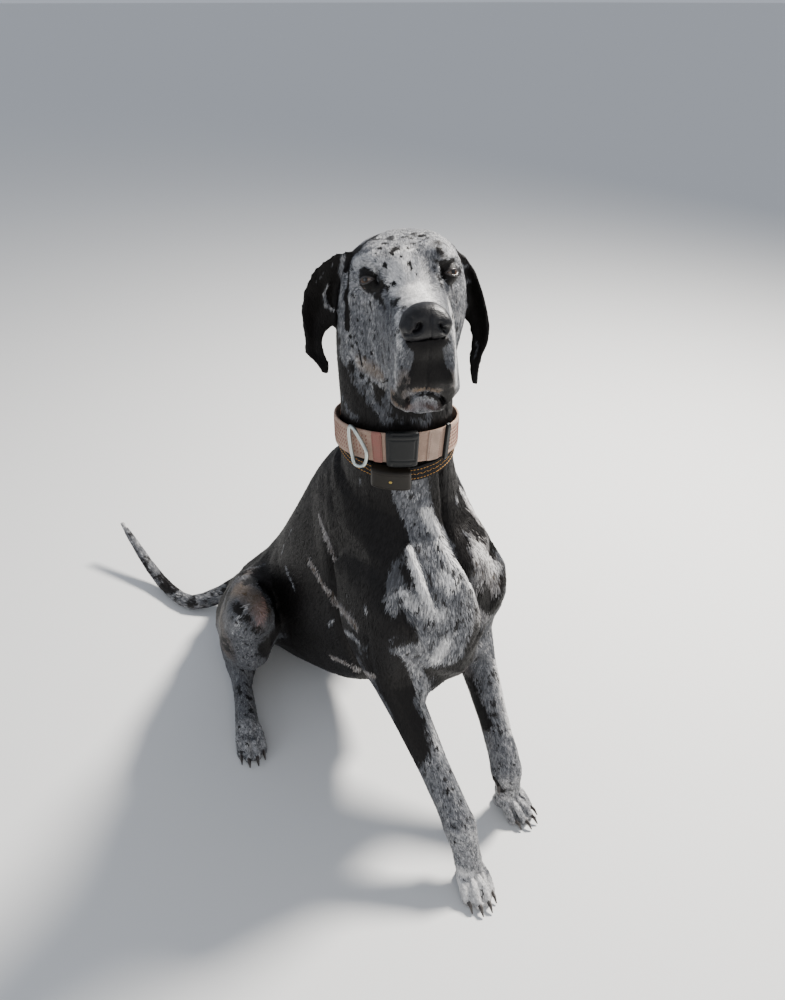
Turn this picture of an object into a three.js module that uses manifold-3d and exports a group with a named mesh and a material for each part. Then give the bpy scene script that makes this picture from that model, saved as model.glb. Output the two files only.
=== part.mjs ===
// A great dane sitting upright: rump and hocks on the floor, forelegs planted ahead, head turned to
// its right, two collars on. Millimetres, +Z up. The dog's body faces -Y, its left side is +X.
// The flesh is one smooth field of named masses. Each part is a tube of rings wrapped on that field,
// and thin cuts divide one part from the next.
import * as THREE from "three";
import { mergeVertices } from "three/addons/utils/BufferGeometryUtils.js";
import Module from "manifold-3d";

const wasm = await Module();
wasm.setup();

// Driving dimensions
const GAP = 0.3; // between neighbouring solids
const HALF_GAP = GAP / 2;
const BACK_SLOPE = THREE.MathUtils.degToRad(51); // the back line above the horizontal
const TAIL_ROOT = [0, 154, 135]; // where the back line starts
const EYE_MIDDLE = [-59, -523, 1020]; // half way between the eyes
const HEAD_TURN = -32.5; // degrees, towards the dog's right
const HEAD_LIFT = -4; // degrees, nose up
const HEAD_TILT = -5; // degrees, right side lower
const EYE_SPREAD = 98; // between the eyes' centres
const EYE_RADIUS = 12.5;
const NOSE_WIDTH = 58;
const COLLAR_HEIGHT = 48; // wide webbing collar
const LOWER_COLLAR_HEIGHT = 25; // narrow strap below it
const COLLAR_THICKNESS = 3.2;
const STRAP_CLEARANCE = 2.5; // between the neck and the narrow strap
const COLLAR_CLEARANCE = 6.5; // the wide collar lies over the strap at the sides and the nape
const NECK_RADIUS = 96; // of the collars, for turning a width on a collar into an angle
const WIRE = 2.4; // half thickness of the metal ring's wire

const RIGHT = -1;
const LEFT = 1;

const point = ([x, y, z]) => new THREE.Vector3(x, y, z);
const mix = THREE.MathUtils.lerp;

// The meeting of two distances, rounded over a width of soft.
function blendNearest(a, b, soft) {
  const h = Math.max(soft - Math.abs(a - b), 0) / soft;
  return Math.min(a, b) - (h * h * soft) / 4;
}

// One mass of flesh: an oval tube along a smooth path. Each stop is [x, y, z, half width, half height].
// The half height lies along `up`, and the ends are domed.
function mass(stops, { up = [0, 0, 1], soft = 30 } = {}) {
  const path = new THREE.CatmullRomCurve3(stops.map(point));
  const sizes = new THREE.CatmullRomCurve3(stops.map((s) => point([s[3], s[4], 0])));
  const steps = (stops.length - 1) * 3;
  const knots = [];
  for (let i = 0; i <= steps; i++) {
    const at = path.getPoint(i / steps);
    const along = path.getTangent(i / steps);
    const side = point(up).cross(along).normalize();
    const over = along.clone().cross(side);
    const size = sizes.getPoint(i / steps);
    knots.push({ at, along, side, over, w: size.x, h: size.y });
  }
  const bounds = new THREE.Sphere().setFromPoints(knots.map((k) => k.at));
  bounds.radius += Math.max(...knots.map((k) => Math.max(k.w, k.h)));
  return { distance: (p) => tubeDistance(knots, p), bounds, soft };
}

// Signed distance, close to the true one near the surface, from p to a tube given by its knots.
function tubeDistance(knots, p) {
  let nearest = Infinity;
  for (let i = 0; i + 1 < knots.length; i++) {
    const a = knots[i];
    const b = knots[i + 1];
    const dx = b.at.x - a.at.x;
    const dy = b.at.y - a.at.y;
    const dz = b.at.z - a.at.z;
    const px = p.x - a.at.x;
    const py = p.y - a.at.y;
    const pz = p.z - a.at.z;
    const t = Math.min(1, Math.max(0, (px * dx + py * dy + pz * dz) / (dx * dx + dy * dy + dz * dz)));
    const rx = px - t * dx;
    const ry = py - t * dy;
    const rz = pz - t * dz;
    const part = (u, v) => rx * mix(u.x, v.x, t) + ry * mix(u.y, v.y, t) + rz * mix(u.z, v.z, t);
    const across = part(a.side, b.side);
    const upward = part(a.over, b.over);
    const onward = part(a.along, b.along);
    nearest = Math.min(nearest, ovalDistance(across, upward, onward, mix(a.w, b.w, t), mix(a.h, b.h, t)));
  }
  return nearest;
}

function ovalDistance(x, y, z, w, h, d = Math.min(w, h)) {
  const k = Math.hypot(x / w, y / h, z / d);
  if (k < 1e-6) return -Math.min(w, h, d);
  const slope = Math.hypot(x / (w * w), y / (h * h), z / (d * d)) / k;
  return (k - 1) / slope;
}

// A round muscle: an ellipsoid with half sizes along x, y and z, pitched by so many degrees or set in
// the axes of a frame.
function muscle(centre, [w, d, h], { pitch = 0, frame, soft = 30 } = {}) {
  const at = point(centre);
  const turned = frame ?? new THREE.Matrix4().makeRotationX(THREE.MathUtils.degToRad(pitch));
  const unturn = new THREE.Matrix4().extractRotation(turned).invert();
  const local = new THREE.Vector3();
  const distance = (p) => {
    local.copy(p).sub(at).applyMatrix4(unturn);
    return ovalDistance(local.x, local.y, local.z, w, d, h);
  };
  return { distance, bounds: new THREE.Sphere(at, Math.max(w, d, h)), soft };
}

// The smooth union of many masses, as one function of a point.
function fieldOf(masses) {
  return (p) => {
    let nearest = Infinity;
    for (const m of masses) {
      const reach = p.distanceTo(m.bounds.center) - m.bounds.radius;
      if (reach > nearest + m.soft) continue;
      nearest = blendNearest(nearest === Infinity ? 1e6 : nearest, m.distance(p), m.soft);
    }
    return nearest;
  };
}

// Walks from inside the flesh along a ray, and returns the first point where the field passes `level`.
function outTo(field, from, direction, level, reach) {
  const probe = new THREE.Vector3();
  const depthAt = (s) => field(probe.copy(from).addScaledVector(direction, s)) - level;
  let near = 0;
  let far = 0;
  while (far < reach) {
    const depth = depthAt(far);
    if (depth > 0) break;
    near = far;
    far += Math.max(1.5, -0.6 * depth);
  }
  if (far >= reach) return from.clone().addScaledVector(direction, reach);
  for (let i = 0; i < 9; i++) {
    const middle = (near + far) / 2;
    if (depthAt(middle) > 0) far = middle;
    else near = middle;
  }
  return from.clone().addScaledVector(direction, far);
}

// A closed mesh of rings round a spine, each point pushed out to the skin. `domes` is how many tilted
// rings close each end; an end with none is left flat, for a cut to take off.
function wrap(field, stops, { rings, segments, up = [0, 0, 1], domes = [0, 0], level = 0, reach = 400 }) {
  const spine = new THREE.CatmullRomCurve3(stops.map(point));
  const loops = [];
  const addLoop = (t, tilt) => {
    const at = spine.getPoint(t);
    const along = spine.getTangent(t);
    const side = point(up).cross(along).normalize();
    const over = along.clone().cross(side);
    const loop = [];
    for (let i = 0; i < segments; i++) {
      const angle = (i / segments) * Math.PI * 2;
      const ray = side.clone().multiplyScalar(Math.cos(angle)).addScaledVector(over, Math.sin(angle));
      ray.multiplyScalar(Math.cos(tilt)).addScaledVector(along, Math.sin(tilt));
      loop.push(outTo(field, at, ray, level, reach));
    }
    loops.push(loop);
  };
  const quarter = Math.PI / 2;
  const tilts = (count) => Array.from({ length: count }, (_, i) => ((count - i) / (count + 1)) * quarter);
  for (const tilt of tilts(domes[0])) addLoop(0, -tilt);
  for (let i = 0; i < rings; i++) addLoop(i / (rings - 1), 0);
  for (const tilt of tilts(domes[1]).reverse()) addLoop(1, tilt);
  const pole = (t, sign, domed) => {
    const at = spine.getPoint(t);
    return domed ? outTo(field, at, spine.getTangent(t).multiplyScalar(sign), level, reach) : at;
  };
  return closeLoops(loops, pole(0, -1, domes[0] > 0), pole(1, 1, domes[1] > 0));
}

const sumOf = (points) => points.reduce((sum, p) => sum.add(p), new THREE.Vector3());
const centreOf = (loop) => sumOf(loop).divideScalar(loop.length);

// Joins loops of equal length, and a pole at each end, into a closed geometry.
function closeLoops(loops, first, last) {
  const n = loops[0].length;
  const points = [first, ...loops.flat(), last];
  const faces = [];
  for (let i = 0; i < n; i++) {
    const j = (i + 1) % n;
    faces.push(0, 1 + j, 1 + i);
    for (let r = 0; r + 1 < loops.length; r++) {
      const a = 1 + r * n;
      const b = a + n;
      faces.push(a + i, a + j, b + i, a + j, b + j, b + i);
    }
    const top = 1 + (loops.length - 1) * n;
    faces.push(points.length - 1, top + i, top + j);
  }
  return new THREE.BufferGeometry().setFromPoints(points).setIndex(faces);
}

// A closed ring band: at each angle a section of points is joined to the next section, all the way round.
function closeBand(sections) {
  const n = sections[0].length;
  const faces = [];
  sections.forEach((_, s) => {
    const a = s * n;
    const b = ((s + 1) % sections.length) * n;
    for (let i = 0; i < n; i++) {
      const j = (i + 1) % n;
      faces.push(a + i, b + i, a + j, a + j, b + i, b + j);
    }
  });
  return new THREE.BufferGeometry().setFromPoints(sections.flat()).setIndex(faces);
}

// Between three.js geometry and solids that can be joined and cut
function solid(geometry) {
  const bare = geometry.clone();
  for (const name of Object.keys(bare.attributes)) if (name !== "position") bare.deleteAttribute(name);
  const merged = mergeVertices(bare, 1e-3);
  const vertProperties = new Float32Array(merged.attributes.position.array);
  const triVerts = new Uint32Array(merged.index.array);
  const made = new wasm.Manifold(new wasm.Mesh({ numProp: 3, vertProperties, triVerts }));
  if (made.volume() > 0) return made;
  for (let i = 0; i < triVerts.length; i += 3) triVerts.subarray(i + 1, i + 3).reverse();
  return new wasm.Manifold(new wasm.Mesh({ numProp: 3, vertProperties, triVerts }));
}

function geometryOf(made) {
  const { vertProperties, triVerts } = made.getMesh();
  const geometry = new THREE.BufferGeometry();
  geometry.setAttribute("position", new THREE.BufferAttribute(vertProperties, 3));
  geometry.setIndex(new THREE.BufferAttribute(triVerts, 1));
  geometry.computeVertexNormals();
  return geometry;
}

// Everything on the side of a plane that its normal points to, short of the plane by half the gap.
function beyond(at, normal, inset = HALF_GAP) {
  const size = 3000;
  const towards = point(normal).normalize();
  const box = new THREE.BoxGeometry(size, size, size);
  box.translate(0, 0, size / 2 + inset);
  box.applyQuaternion(new THREE.Quaternion().setFromUnitVectors(new THREE.Vector3(0, 0, 1), towards));
  box.translate(...at);
  return solid(box);
}
const opposite = (normal) => normal.map((n) => -n);
const keep = (part, ...sides) => sides.reduce((left, side) => left.intersect(side), part);
const FLOOR = beyond([0, 0, 0], [0, 0, 1], 0);
const largest = (made) => made.decompose().sort((a, b) => b.volume() - a.volume())[0];

// Frames: the back line, the head, and the mirror between the two sides

// A place s along the back from the tail root, d deep below the back line, x to the left.
function alongBack(s, d, x = 0) {
  const c = Math.cos(BACK_SLOPE);
  const n = Math.sin(BACK_SLOPE);
  return [x, TAIL_ROOT[1] - s * c - d * n, TAIL_ROOT[2] + s * n - d * c];
}

const headFrame = new THREE.Matrix4()
  .makeTranslation(...EYE_MIDDLE)
  .multiply(new THREE.Matrix4().makeRotationZ(THREE.MathUtils.degToRad(HEAD_TURN)))
  .multiply(new THREE.Matrix4().makeRotationX(THREE.MathUtils.degToRad(HEAD_LIFT)))
  .multiply(new THREE.Matrix4().makeRotationY(THREE.MathUtils.degToRad(HEAD_TILT)));
// A place in the head: x to its left, y backwards, z up, from between the eyes.
const inHead = ([x, y, z, ...sizes]) => [...point([x, y, z]).applyMatrix4(headFrame).toArray(), ...sizes];
const headWay = (v) => point(v).transformDirection(headFrame).toArray();
const HEAD_UP = headWay([0, 0, 1]);

const headMass = (stops, options = {}) => mass(stops.map(inHead), { up: HEAD_UP, ...options });
const headMuscle = (centre, sizes, options = {}) =>
  muscle(inHead(centre), sizes, { frame: headFrame, ...options });
const bothSides = (make) => [make(RIGHT), make(LEFT)];

// Trunk: each stop is [s, depth of the centre, half width, half height]
const trunkStops = [
  [-15, 124, 86, 82],
  [60, 134, 98, 106],
  [150, 152, 97, 132],
  [240, 166, 93, 152],
  [320, 181, 98, 169],
  [410, 195, 111, 185],
  [500, 204, 112, 196],
  [590, 208, 101, 198],
  [670, 216, 86, 182],
  [735, 226, 64, 146],
];
const BACK_UP = [0, Math.sin(BACK_SLOPE), Math.cos(BACK_SLOPE)];
const trunk = mass(
  trunkStops.map(([s, d, w, h]) => [...alongBack(s, d), w, h]),
  { up: BACK_UP, soft: 40 },
);

// Neck, from inside the chest up to the skull
const skullBase = inHead([0, 88, -40]);
const neckStops = [
  [14, -390, 560, 95, 120],
  [5, -426, 640, 87, 107],
  [-19, -445, 735, 82.5, 91],
  [-24, -452, 830, 84, 88],
  [-24, -447, 915, 84, 86],
  [...skullBase, 74, 78],
];
const neck = mass(neckStops, { up: [0, -1, 0], soft: 45 });

const underline = [
  [640, 402, 54, 52],
  [490, 388, 66, 54],
  [350, 338, 76, 52],
  [215, 282, 70, 50],
  [120, 238, 52, 42],
];
const breast = [
  muscle(alongBack(700, 330, 0), [76, 70, 95], { soft: 40 }),
  mass(underline.map(([s, d, w, h]) => [...alongBack(s, d), w, h]), { up: BACK_UP, soft: 50 }),
];
const withers = muscle(alongBack(640, 58), [34, 110, 56], { pitch: -51, soft: 60 });

// Forelegs: shoulder, upper arm, elbow, forearm, wrist, pastern
const foreleg = {
  [RIGHT]: { elbow: [-90, -504, 362], wrist: [-78, -698, 124], paw: [-84, -744, 0], heading: -14 },
  [LEFT]: { elbow: [100, -496, 366], wrist: [66, -670, 130], paw: [80, -672, 0], heading: 6 },
};
const shoulderPoint = (side) => [side * 81, -545, 490];
const shoulderBlade = (side) => [
  [side * 47, -337, 614, 28, 52],
  [side * 84, -430, 556, 36, 84],
];
const dewToe = (side) => {
  const [x, y, z] = foreleg[side].wrist;
  return [x - side * 26, y - 4, z - 26];
};

function forelegMasses(side) {
  const { elbow, wrist, paw } = foreleg[side];
  const [ex, ey, ez] = elbow;
  const [wx, wy, wz] = wrist;
  const down = (t) => [mix(ex, wx, t), mix(ey, wy, t), mix(ez, wz, t)];
  const forearm = [
    [...elbow, 34, 46],
    [...down(0.22), 33, 42],
    [...down(0.5), 29, 35],
    [...down(0.8), 26, 29],
    [...wrist, 28, 31],
  ];
  const pastern = [mix(wx, paw[0], 0.55), mix(wy, paw[1], 0.6), 76, 24, 24];
  return [
    mass([...shoulderBlade(side), [...shoulderPoint(side), 40, 60]], { up: [0, -0.6, 0.8], soft: 55 }),
    mass([[...shoulderPoint(side), 40, 58], [side * 96, -515, 425, 42, 66], [...elbow, 40, 54]], {
      up: [0, -1, 0],
      soft: 45,
    }),
    muscle([side * 96, -468, 445], [36, 52, 70], { pitch: 25, soft: 45 }),
    mass(forearm, { up: [0, -1, 0], soft: 26 }),
    muscle([ex, ey + 38, ez + 2], [22, 24, 28], { soft: 26 }),
    mass([[...wrist, 28, 29], pastern, [paw[0], paw[1] + 4, 42, 28, 23]], { up: [0, -1, 0], soft: 14 }),
    muscle([wx, wy + 24, wz - 12], [13, 12, 17], { soft: 14 }),
    muscle(dewToe(side), [8, 10, 12], { soft: 8 }),
  ];
}

// Hind legs: thigh, shin, hock, hind foot
const hindleg = {
  [RIGHT]: { knee: [-190, -202, 308], hock: [-162, -46, 62], paw: [-240, -234, 0], heading: -22 },
  [LEFT]: { knee: [186, -206, 308], hock: [160, -46, 62], paw: [230, -238, 0], heading: 19 },
};
const hipOf = (side) => [side * 80, -15, 178];

function hindlegMasses(side) {
  const { knee, hock, paw } = hindleg[side];
  const hip = hipOf(side);
  const halfway = (a, b, t) => [0, 1, 2].map((i) => mix(a[i], b[i], t));
  const thighMiddle = halfway(hip, knee, 0.5);
  thighMiddle[0] += side * 14;
  const shinMiddle = halfway(knee, hock, 0.45);
  const footMiddle = [mix(hock[0], paw[0], 0.5), mix(hock[1], paw[1], 0.5), 38];
  const backOfThigh = [
    [side * 132, 20, 104, 46, 70],
    [side * 158, -80, 138, 46, 82],
    [side * 166, -130, 190, 42, 70],
  ];
  const shin = [
    [...knee, 35, 42],
    [...shinMiddle, 37, 54],
    [...halfway(knee, hock, 0.8), 28, 36],
    [...hock, 24, 30],
  ];
  const foot = [
    [hock[0], hock[1] + 12, 25, 21, 26],
    [...footMiddle, 22, 23],
    [paw[0], paw[1] + 6, 36, 27, 23],
  ];
  return [
    muscle([side * 66, 66, 104], [53, 74, 74], { pitch: -30, soft: 50 }),
    mass([[...hip, 60, 82], [...thighMiddle, 49, 78], [...halfway(hip, knee, 0.85), 38, 48]], { soft: 50 }),
    mass(backOfThigh, { soft: 45 }),
    mass([[...halfway(hip, knee, 0.86), 38, 48], [...knee, 34, 40]], { soft: 30 }),
    mass(shin, { up: [0, -0.6, 0.8], soft: 26 }),
    mass([[hock[0] + side * 2, hock[1] + 30, 20, 17, 21], [hock[0], hock[1], 50, 22, 26]], { soft: 24 }),
    mass(foot, { soft: 20 }),
  ];
}

// Tail: lies on the floor behind, curls to the right, and lifts at the tip
const tailStops = [
  [0, 112, 122, 36, 38],
  [-36, 166, 76, 28, 28],
  [-98, 206, 36, 23, 23],
  [-148, 244, 19, 19.5, 19.5],
  [-166, 312, 18, 18, 18],
  [-176, 386, 34, 16, 16],
  [-184, 464, 74, 13.5, 13.5],
  [-190, 546, 118, 9, 9],
];
const tail = mass(tailStops, { soft: 24 });

// Head
const bridge = [
  [0, 12, -24, 42, 30],
  [0, -30, -28, 37, 30],
  [0, -90, -30, 33, 29],
  [0, -142, -33, 31, 27],
];
const upperLip = (s) => [
  [s * 31, 20, -72, 20, 46],
  [s * 27, -40, -80, 19, 54],
  [s * 24, -100, -82, 18, 56],
  [s * 20, -138, -70, 15, 45],
];
const lowerJaw = [
  [0, 84, -92, 38, 30],
  [0, 20, -106, 30, 27],
  [0, -60, -117, 22, 20],
  [0, -122, -118, 18, 18],
];
const headMasses = [
  // brain case, from the brow back to the occiput
  headMass([[0, 4, 2, 51, 38], [-2, 45, 2, 57, 42], [-2, 95, 0, 54, 42], [0, 132, -6, 40, 36]]),
  // temples
  ...bothSides((s) => headMuscle([s * 34, 40, 18], [27, 52, 21], { soft: 24 })),
  // cheek and jaw muscles
  ...bothSides((s) => headMuscle([s * 45 - 5, 62, -28], [36, 52, 52], { soft: 34 })),
  ...bothSides((s) => headMuscle([s * 42 - 5, 78, -72], [36, 46, 42], { soft: 34 })),
  // brow ridges and the hollow between them
  ...bothSides((s) => headMuscle([s * 36, 4, 21], [24, 22, 18], { soft: 18 })),
  // bridge of the nose: a long flat-topped muzzle
  headMass(bridge, { soft: 22 }),
  // upper lips, deep and square in front
  ...bothSides((s) => headMass(upperLip(s), { soft: 22 })),
  // loose corner of the lip
  ...bothSides((s) => headMuscle([s * 36, 6, -116], [16, 36, 24], { soft: 24 })),
  ...bothSides((s) => headMuscle([s * 29, -84, -127], [13, 38, 20], { soft: 18 })),
  // lower jaw and chin
  headMass(lowerJaw, { soft: 16 }),
  // throat, running into the neck
  headMass([[0, 60, -96, 46, 38], [0, 112, -106, 52, 52]], { soft: 40 }),
];

const flesh = fieldOf([
  trunk,
  neck,
  ...breast,
  withers,
  ...bothSides(forelegMasses).flat(),
  ...bothSides(hindlegMasses).flat(),
  tail,
  ...headMasses,
]);

// Cutting planes, each a point and a normal. `after` is the side that the normal points to.
const backWay = [0, -Math.cos(BACK_SLOPE), Math.sin(BACK_SLOPE)];
const planes = {
  headBack: { at: inHead([0, 96, -50]), normal: headWay([0, 0.78, -0.63]) },
  stop: { at: inHead([0, -12, 0]), normal: headWay([0, -1, 0]) },
  neckMiddle: { at: [-18, -452, 800], normal: [0, 0.1, -1] },
  neckBase: { at: [-8, -432, 655], normal: [0, 0.42, -0.9] },
  loin: { at: alongBack(330, 0), normal: opposite(backWay) },
  rump: { at: alongBack(130, 0), normal: opposite(backWay) },
  tailRoot: { at: tailStops[1], normal: [-0.1, 0.8, -0.6] },
  tailMiddle: { at: tailStops[3], normal: [-0.6, 0.8, 0] },
  tailTip: { at: tailStops[5], normal: [-0.2, 0.85, 0.48] },
};
const after = ({ at, normal }, inset) => beyond(at, normal, inset);
const before = ({ at, normal }, inset) => beyond(at, opposite(normal), inset);

// The shoulder is cut from the chest by a plane under the armpit and one behind the shoulder blade.
// The thigh is cut from the trunk by a plane beside the belly and one above the knee.
const legPlanes = (side) => {
  const [px, py] = hindleg[side].paw;
  const heading = THREE.MathUtils.degToRad(hindleg[side].heading);
  return {
    armpit: { at: [side * 54, -480, 340], normal: [side * 0.975, 0, -0.22] },
    shoulderBack: { at: [side * 90, -365, 480], normal: [0, -0.97, 0.12] },
    elbow: { at: [side * 96, -500, 330], normal: [0, -0.22, -0.97] },
    wrist: { at: foreleg[side].wrist, normal: [0, -0.35, -0.94] },
    flank: { at: [side * 90, -60, 180], normal: [side, 0.1, 0] },
    overKnee: { at: [side * 90, -204, 372], normal: [0, 0.28, -0.96] },
    shin: { at: [side * 160, -158, 262], normal: [0, -0.8, -0.6] },
    heel: { at: [side * 150, 44, 60], normal: [0, -1, 0] },
    hock: { at: hindleg[side].hock, normal: [0, -0.38, -0.92] },
    toes: { at: [px, py + 22, 30], normal: [Math.sin(heading), -Math.cos(heading), 0] },
  };
};
const shoulderRegion = (side, inset) => {
  const { armpit, shoulderBack } = legPlanes(side);
  return after(armpit, inset).intersect(after(shoulderBack, inset));
};
const thighRegion = (side, inset) => {
  const { flank, overKnee } = legPlanes(side);
  return after(flank, inset).intersect(after(overKnee, inset));
};
const shinRegion = (side, inset) => {
  const { shin, heel } = legPlanes(side);
  return keep(thighRegion(side, inset), after(shin, inset), after(heel, inset));
};

const nodes = new Map();

// How far a place lies past a plane, and a field that ends a little outside the region of some planes
const past = ({ at, normal }, p) => point(normal).normalize().dot(p.clone().sub(point(at)));
const CUT_MARGIN = 14; // how far past a cut the flesh is wrapped
const within =
  (...sides) =>
  (p) =>
    Math.max(flesh(p), ...sides.map((side) => -past(side, p) - CUT_MARGIN));
const intoThigh = (p) => {
  const { flank, overKnee } = legPlanes(p.x < 0 ? RIGHT : LEFT);
  return Math.min(past(flank, p), past(overKnee, p));
};
const trunkField = (p) => Math.max(flesh(p), intoThigh(p) - CUT_MARGIN);

// Trunk
const trunkSpine = [
  [0, 62, 122],
  [0, -70, 200],
  [0, -205, 330],
  [0, -310, 470],
  [0, -372, 560],
];
const wholeTrunk = solid(
  wrap(trunkField, trunkSpine, { rings: 12, segments: 20, up: BACK_UP, domes: [2, 2], reach: 340 }),
);
const bareTrunk = [RIGHT, LEFT].reduce(
  (left, side) => left.subtract(shoulderRegion(side, -HALF_GAP)).subtract(thighRegion(side, -HALF_GAP)),
  keep(wholeTrunk, FLOOR, after(planes.neckBase)),
);
nodes.set("chest", keep(bareTrunk, before(planes.loin)));
nodes.set("loin", keep(bareTrunk, after(planes.loin), before(planes.rump)));
nodes.set("rump", keep(bareTrunk, after(planes.rump), before(planes.tailRoot)));

// Neck
const neckSpine = [
  inHead([0, 70, -20]),
  [-13, -455, 900],
  [-18, -454, 800],
  [-14, -438, 700],
  [-4, -400, 590],
];
const wholeNeck = solid(
  wrap(flesh, neckSpine, { rings: 11, segments: 18, up: [0, -1, 0], domes: [1, 1], reach: 230 }),
);
nodes.set("neck_upper", keep(wholeNeck, after(planes.headBack), before(planes.neckMiddle)));
nodes.set("neck_lower", keep(wholeNeck, after(planes.neckMiddle), before(planes.neckBase)));

// Tail
const tailSpine = tailStops.map(([x, y, z]) => [x, y, z]);
const wholeTail = keep(
  solid(wrap(flesh, tailSpine, { rings: 13, segments: 8, domes: [0, 1], reach: 60 })),
  FLOOR,
);
nodes.set("tail_root", keep(wholeTail, after(planes.tailRoot), before(planes.tailMiddle)));
nodes.set("tail_middle", keep(wholeTail, after(planes.tailMiddle), before(planes.tailTip)));
nodes.set("tail_tip", keep(wholeTail, after(planes.tailTip)));

// Toes: each is [out from the paw's middle, ahead of its pad, splay, size], and bends over a knuckle
const toeRows = [
  [-20.5, -6, -2.5, 0.9],
  [-7.5, 6, -1, 1],
  [7.5, 6, 1, 1],
  [20.5, -6, 2.5, 0.9],
];
const toeNames = {
  [RIGHT]: ["outer", "third", "second", "inner"],
  [LEFT]: ["inner", "second", "third", "outer"],
};

function pawPlace([px, py], heading) {
  const angle = THREE.MathUtils.degToRad(heading);
  return (out, ahead, height) => [
    px + out * Math.cos(angle) + ahead * Math.sin(angle),
    py + out * Math.sin(angle) - ahead * Math.cos(angle),
    height,
  ];
}

function toeMass(place, [out, ahead, splay, size]) {
  const stops = [
    [...place(out * 0.86, ahead - 8, 33), 9.6 * size, 14 * size],
    [...place(out, ahead + 10, 35), 9.8 * size, 14.5 * size],
    [...place(out + splay * 0.5, ahead + 26, 27), 10 * size, 14.5 * size],
    [...place(out + splay, ahead + 37, 6.5), 9.2 * size, 13.4 * size],
  ];
  return mass(stops, { soft: 6 });
}

// A plain oval tube with one ring at each stop, for claws and nostrils
function tube(stops, { segments, up = [0, 0, 1] }) {
  const path = new THREE.CatmullRomCurve3(stops.map(point));
  const last = stops.length - 1;
  const loops = stops.map(([, , , w, h], i) => {
    const at = path.getPoint(i / last);
    const along = path.getTangent(i / last);
    const side = point(up).cross(along).normalize();
    const over = along.clone().cross(side);
    return Array.from({ length: segments }, (_, j) => {
      const angle = (j / segments) * Math.PI * 2;
      const across = side.clone().multiplyScalar(w * Math.cos(angle));
      return across.addScaledVector(over, h * Math.sin(angle)).add(at);
    });
  });
  const tip = (t, sign) => path.getPoint(t).addScaledVector(path.getTangent(t), sign * 0.6);
  return solid(closeLoops(loops, tip(0, -1), tip(1, 1)));
}

// The four toes of a paw as one solid, grown by `level`
function toes(place, level) {
  return toeRows
    .map((row) => {
      const [out, ahead, splay] = row;
      const path = [
        place(out * 0.9, ahead - 2, 34),
        place(out + splay * 0.25, ahead + 16, 31),
        place(out + splay, ahead + 35, 8.5),
      ];
      const field = fieldOf([toeMass(place, row)]);
      return solid(wrap(field, path, { rings: 3, segments: 6, domes: [0, 1], level, reach: 40 }));
    })
    .reduce((all, one) => all.add(one));
}

// A claw: a short curved cone that grows from the end of a toe
function claw(place, [out, ahead, splay, size], around) {
  const stops = [
    [...place(out + splay, ahead + 38, 15.5), 4.4 * size, 5.2 * size],
    [...place(out + splay * 1.1, ahead + 52, 13), 3.6 * size, 4.6 * size],
    [...place(out + splay * 1.25, ahead + 60, 4), 1.3, 1.8],
  ];
  return tube(stops, { segments: 4 }).subtract(around);
}

function pad(place, [w, d, h], ahead) {
  const ball = new THREE.SphereGeometry(1, 7, 4);
  ball.scale(w, d, h);
  ball.translate(...place(0, ahead, h - 2));
  return solid(ball);
}

function paw(side, name, { paw: middle, heading }, leg, padSize, padAhead, region) {
  const place = pawPlace(middle, heading);
  const around = toes(place, GAP);
  nodes.set(name, keep(leg.add(toes(place, 0)).add(pad(place, padSize, padAhead)), FLOOR, region));
  toeRows.forEach((row, i) => {
    const toe = `${name.replace("_paw", "").replace("paw", "")}_claw_${toeNames[side][i]}`;
    nodes.set(toe, claw(place, row, around));
  });
}

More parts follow.
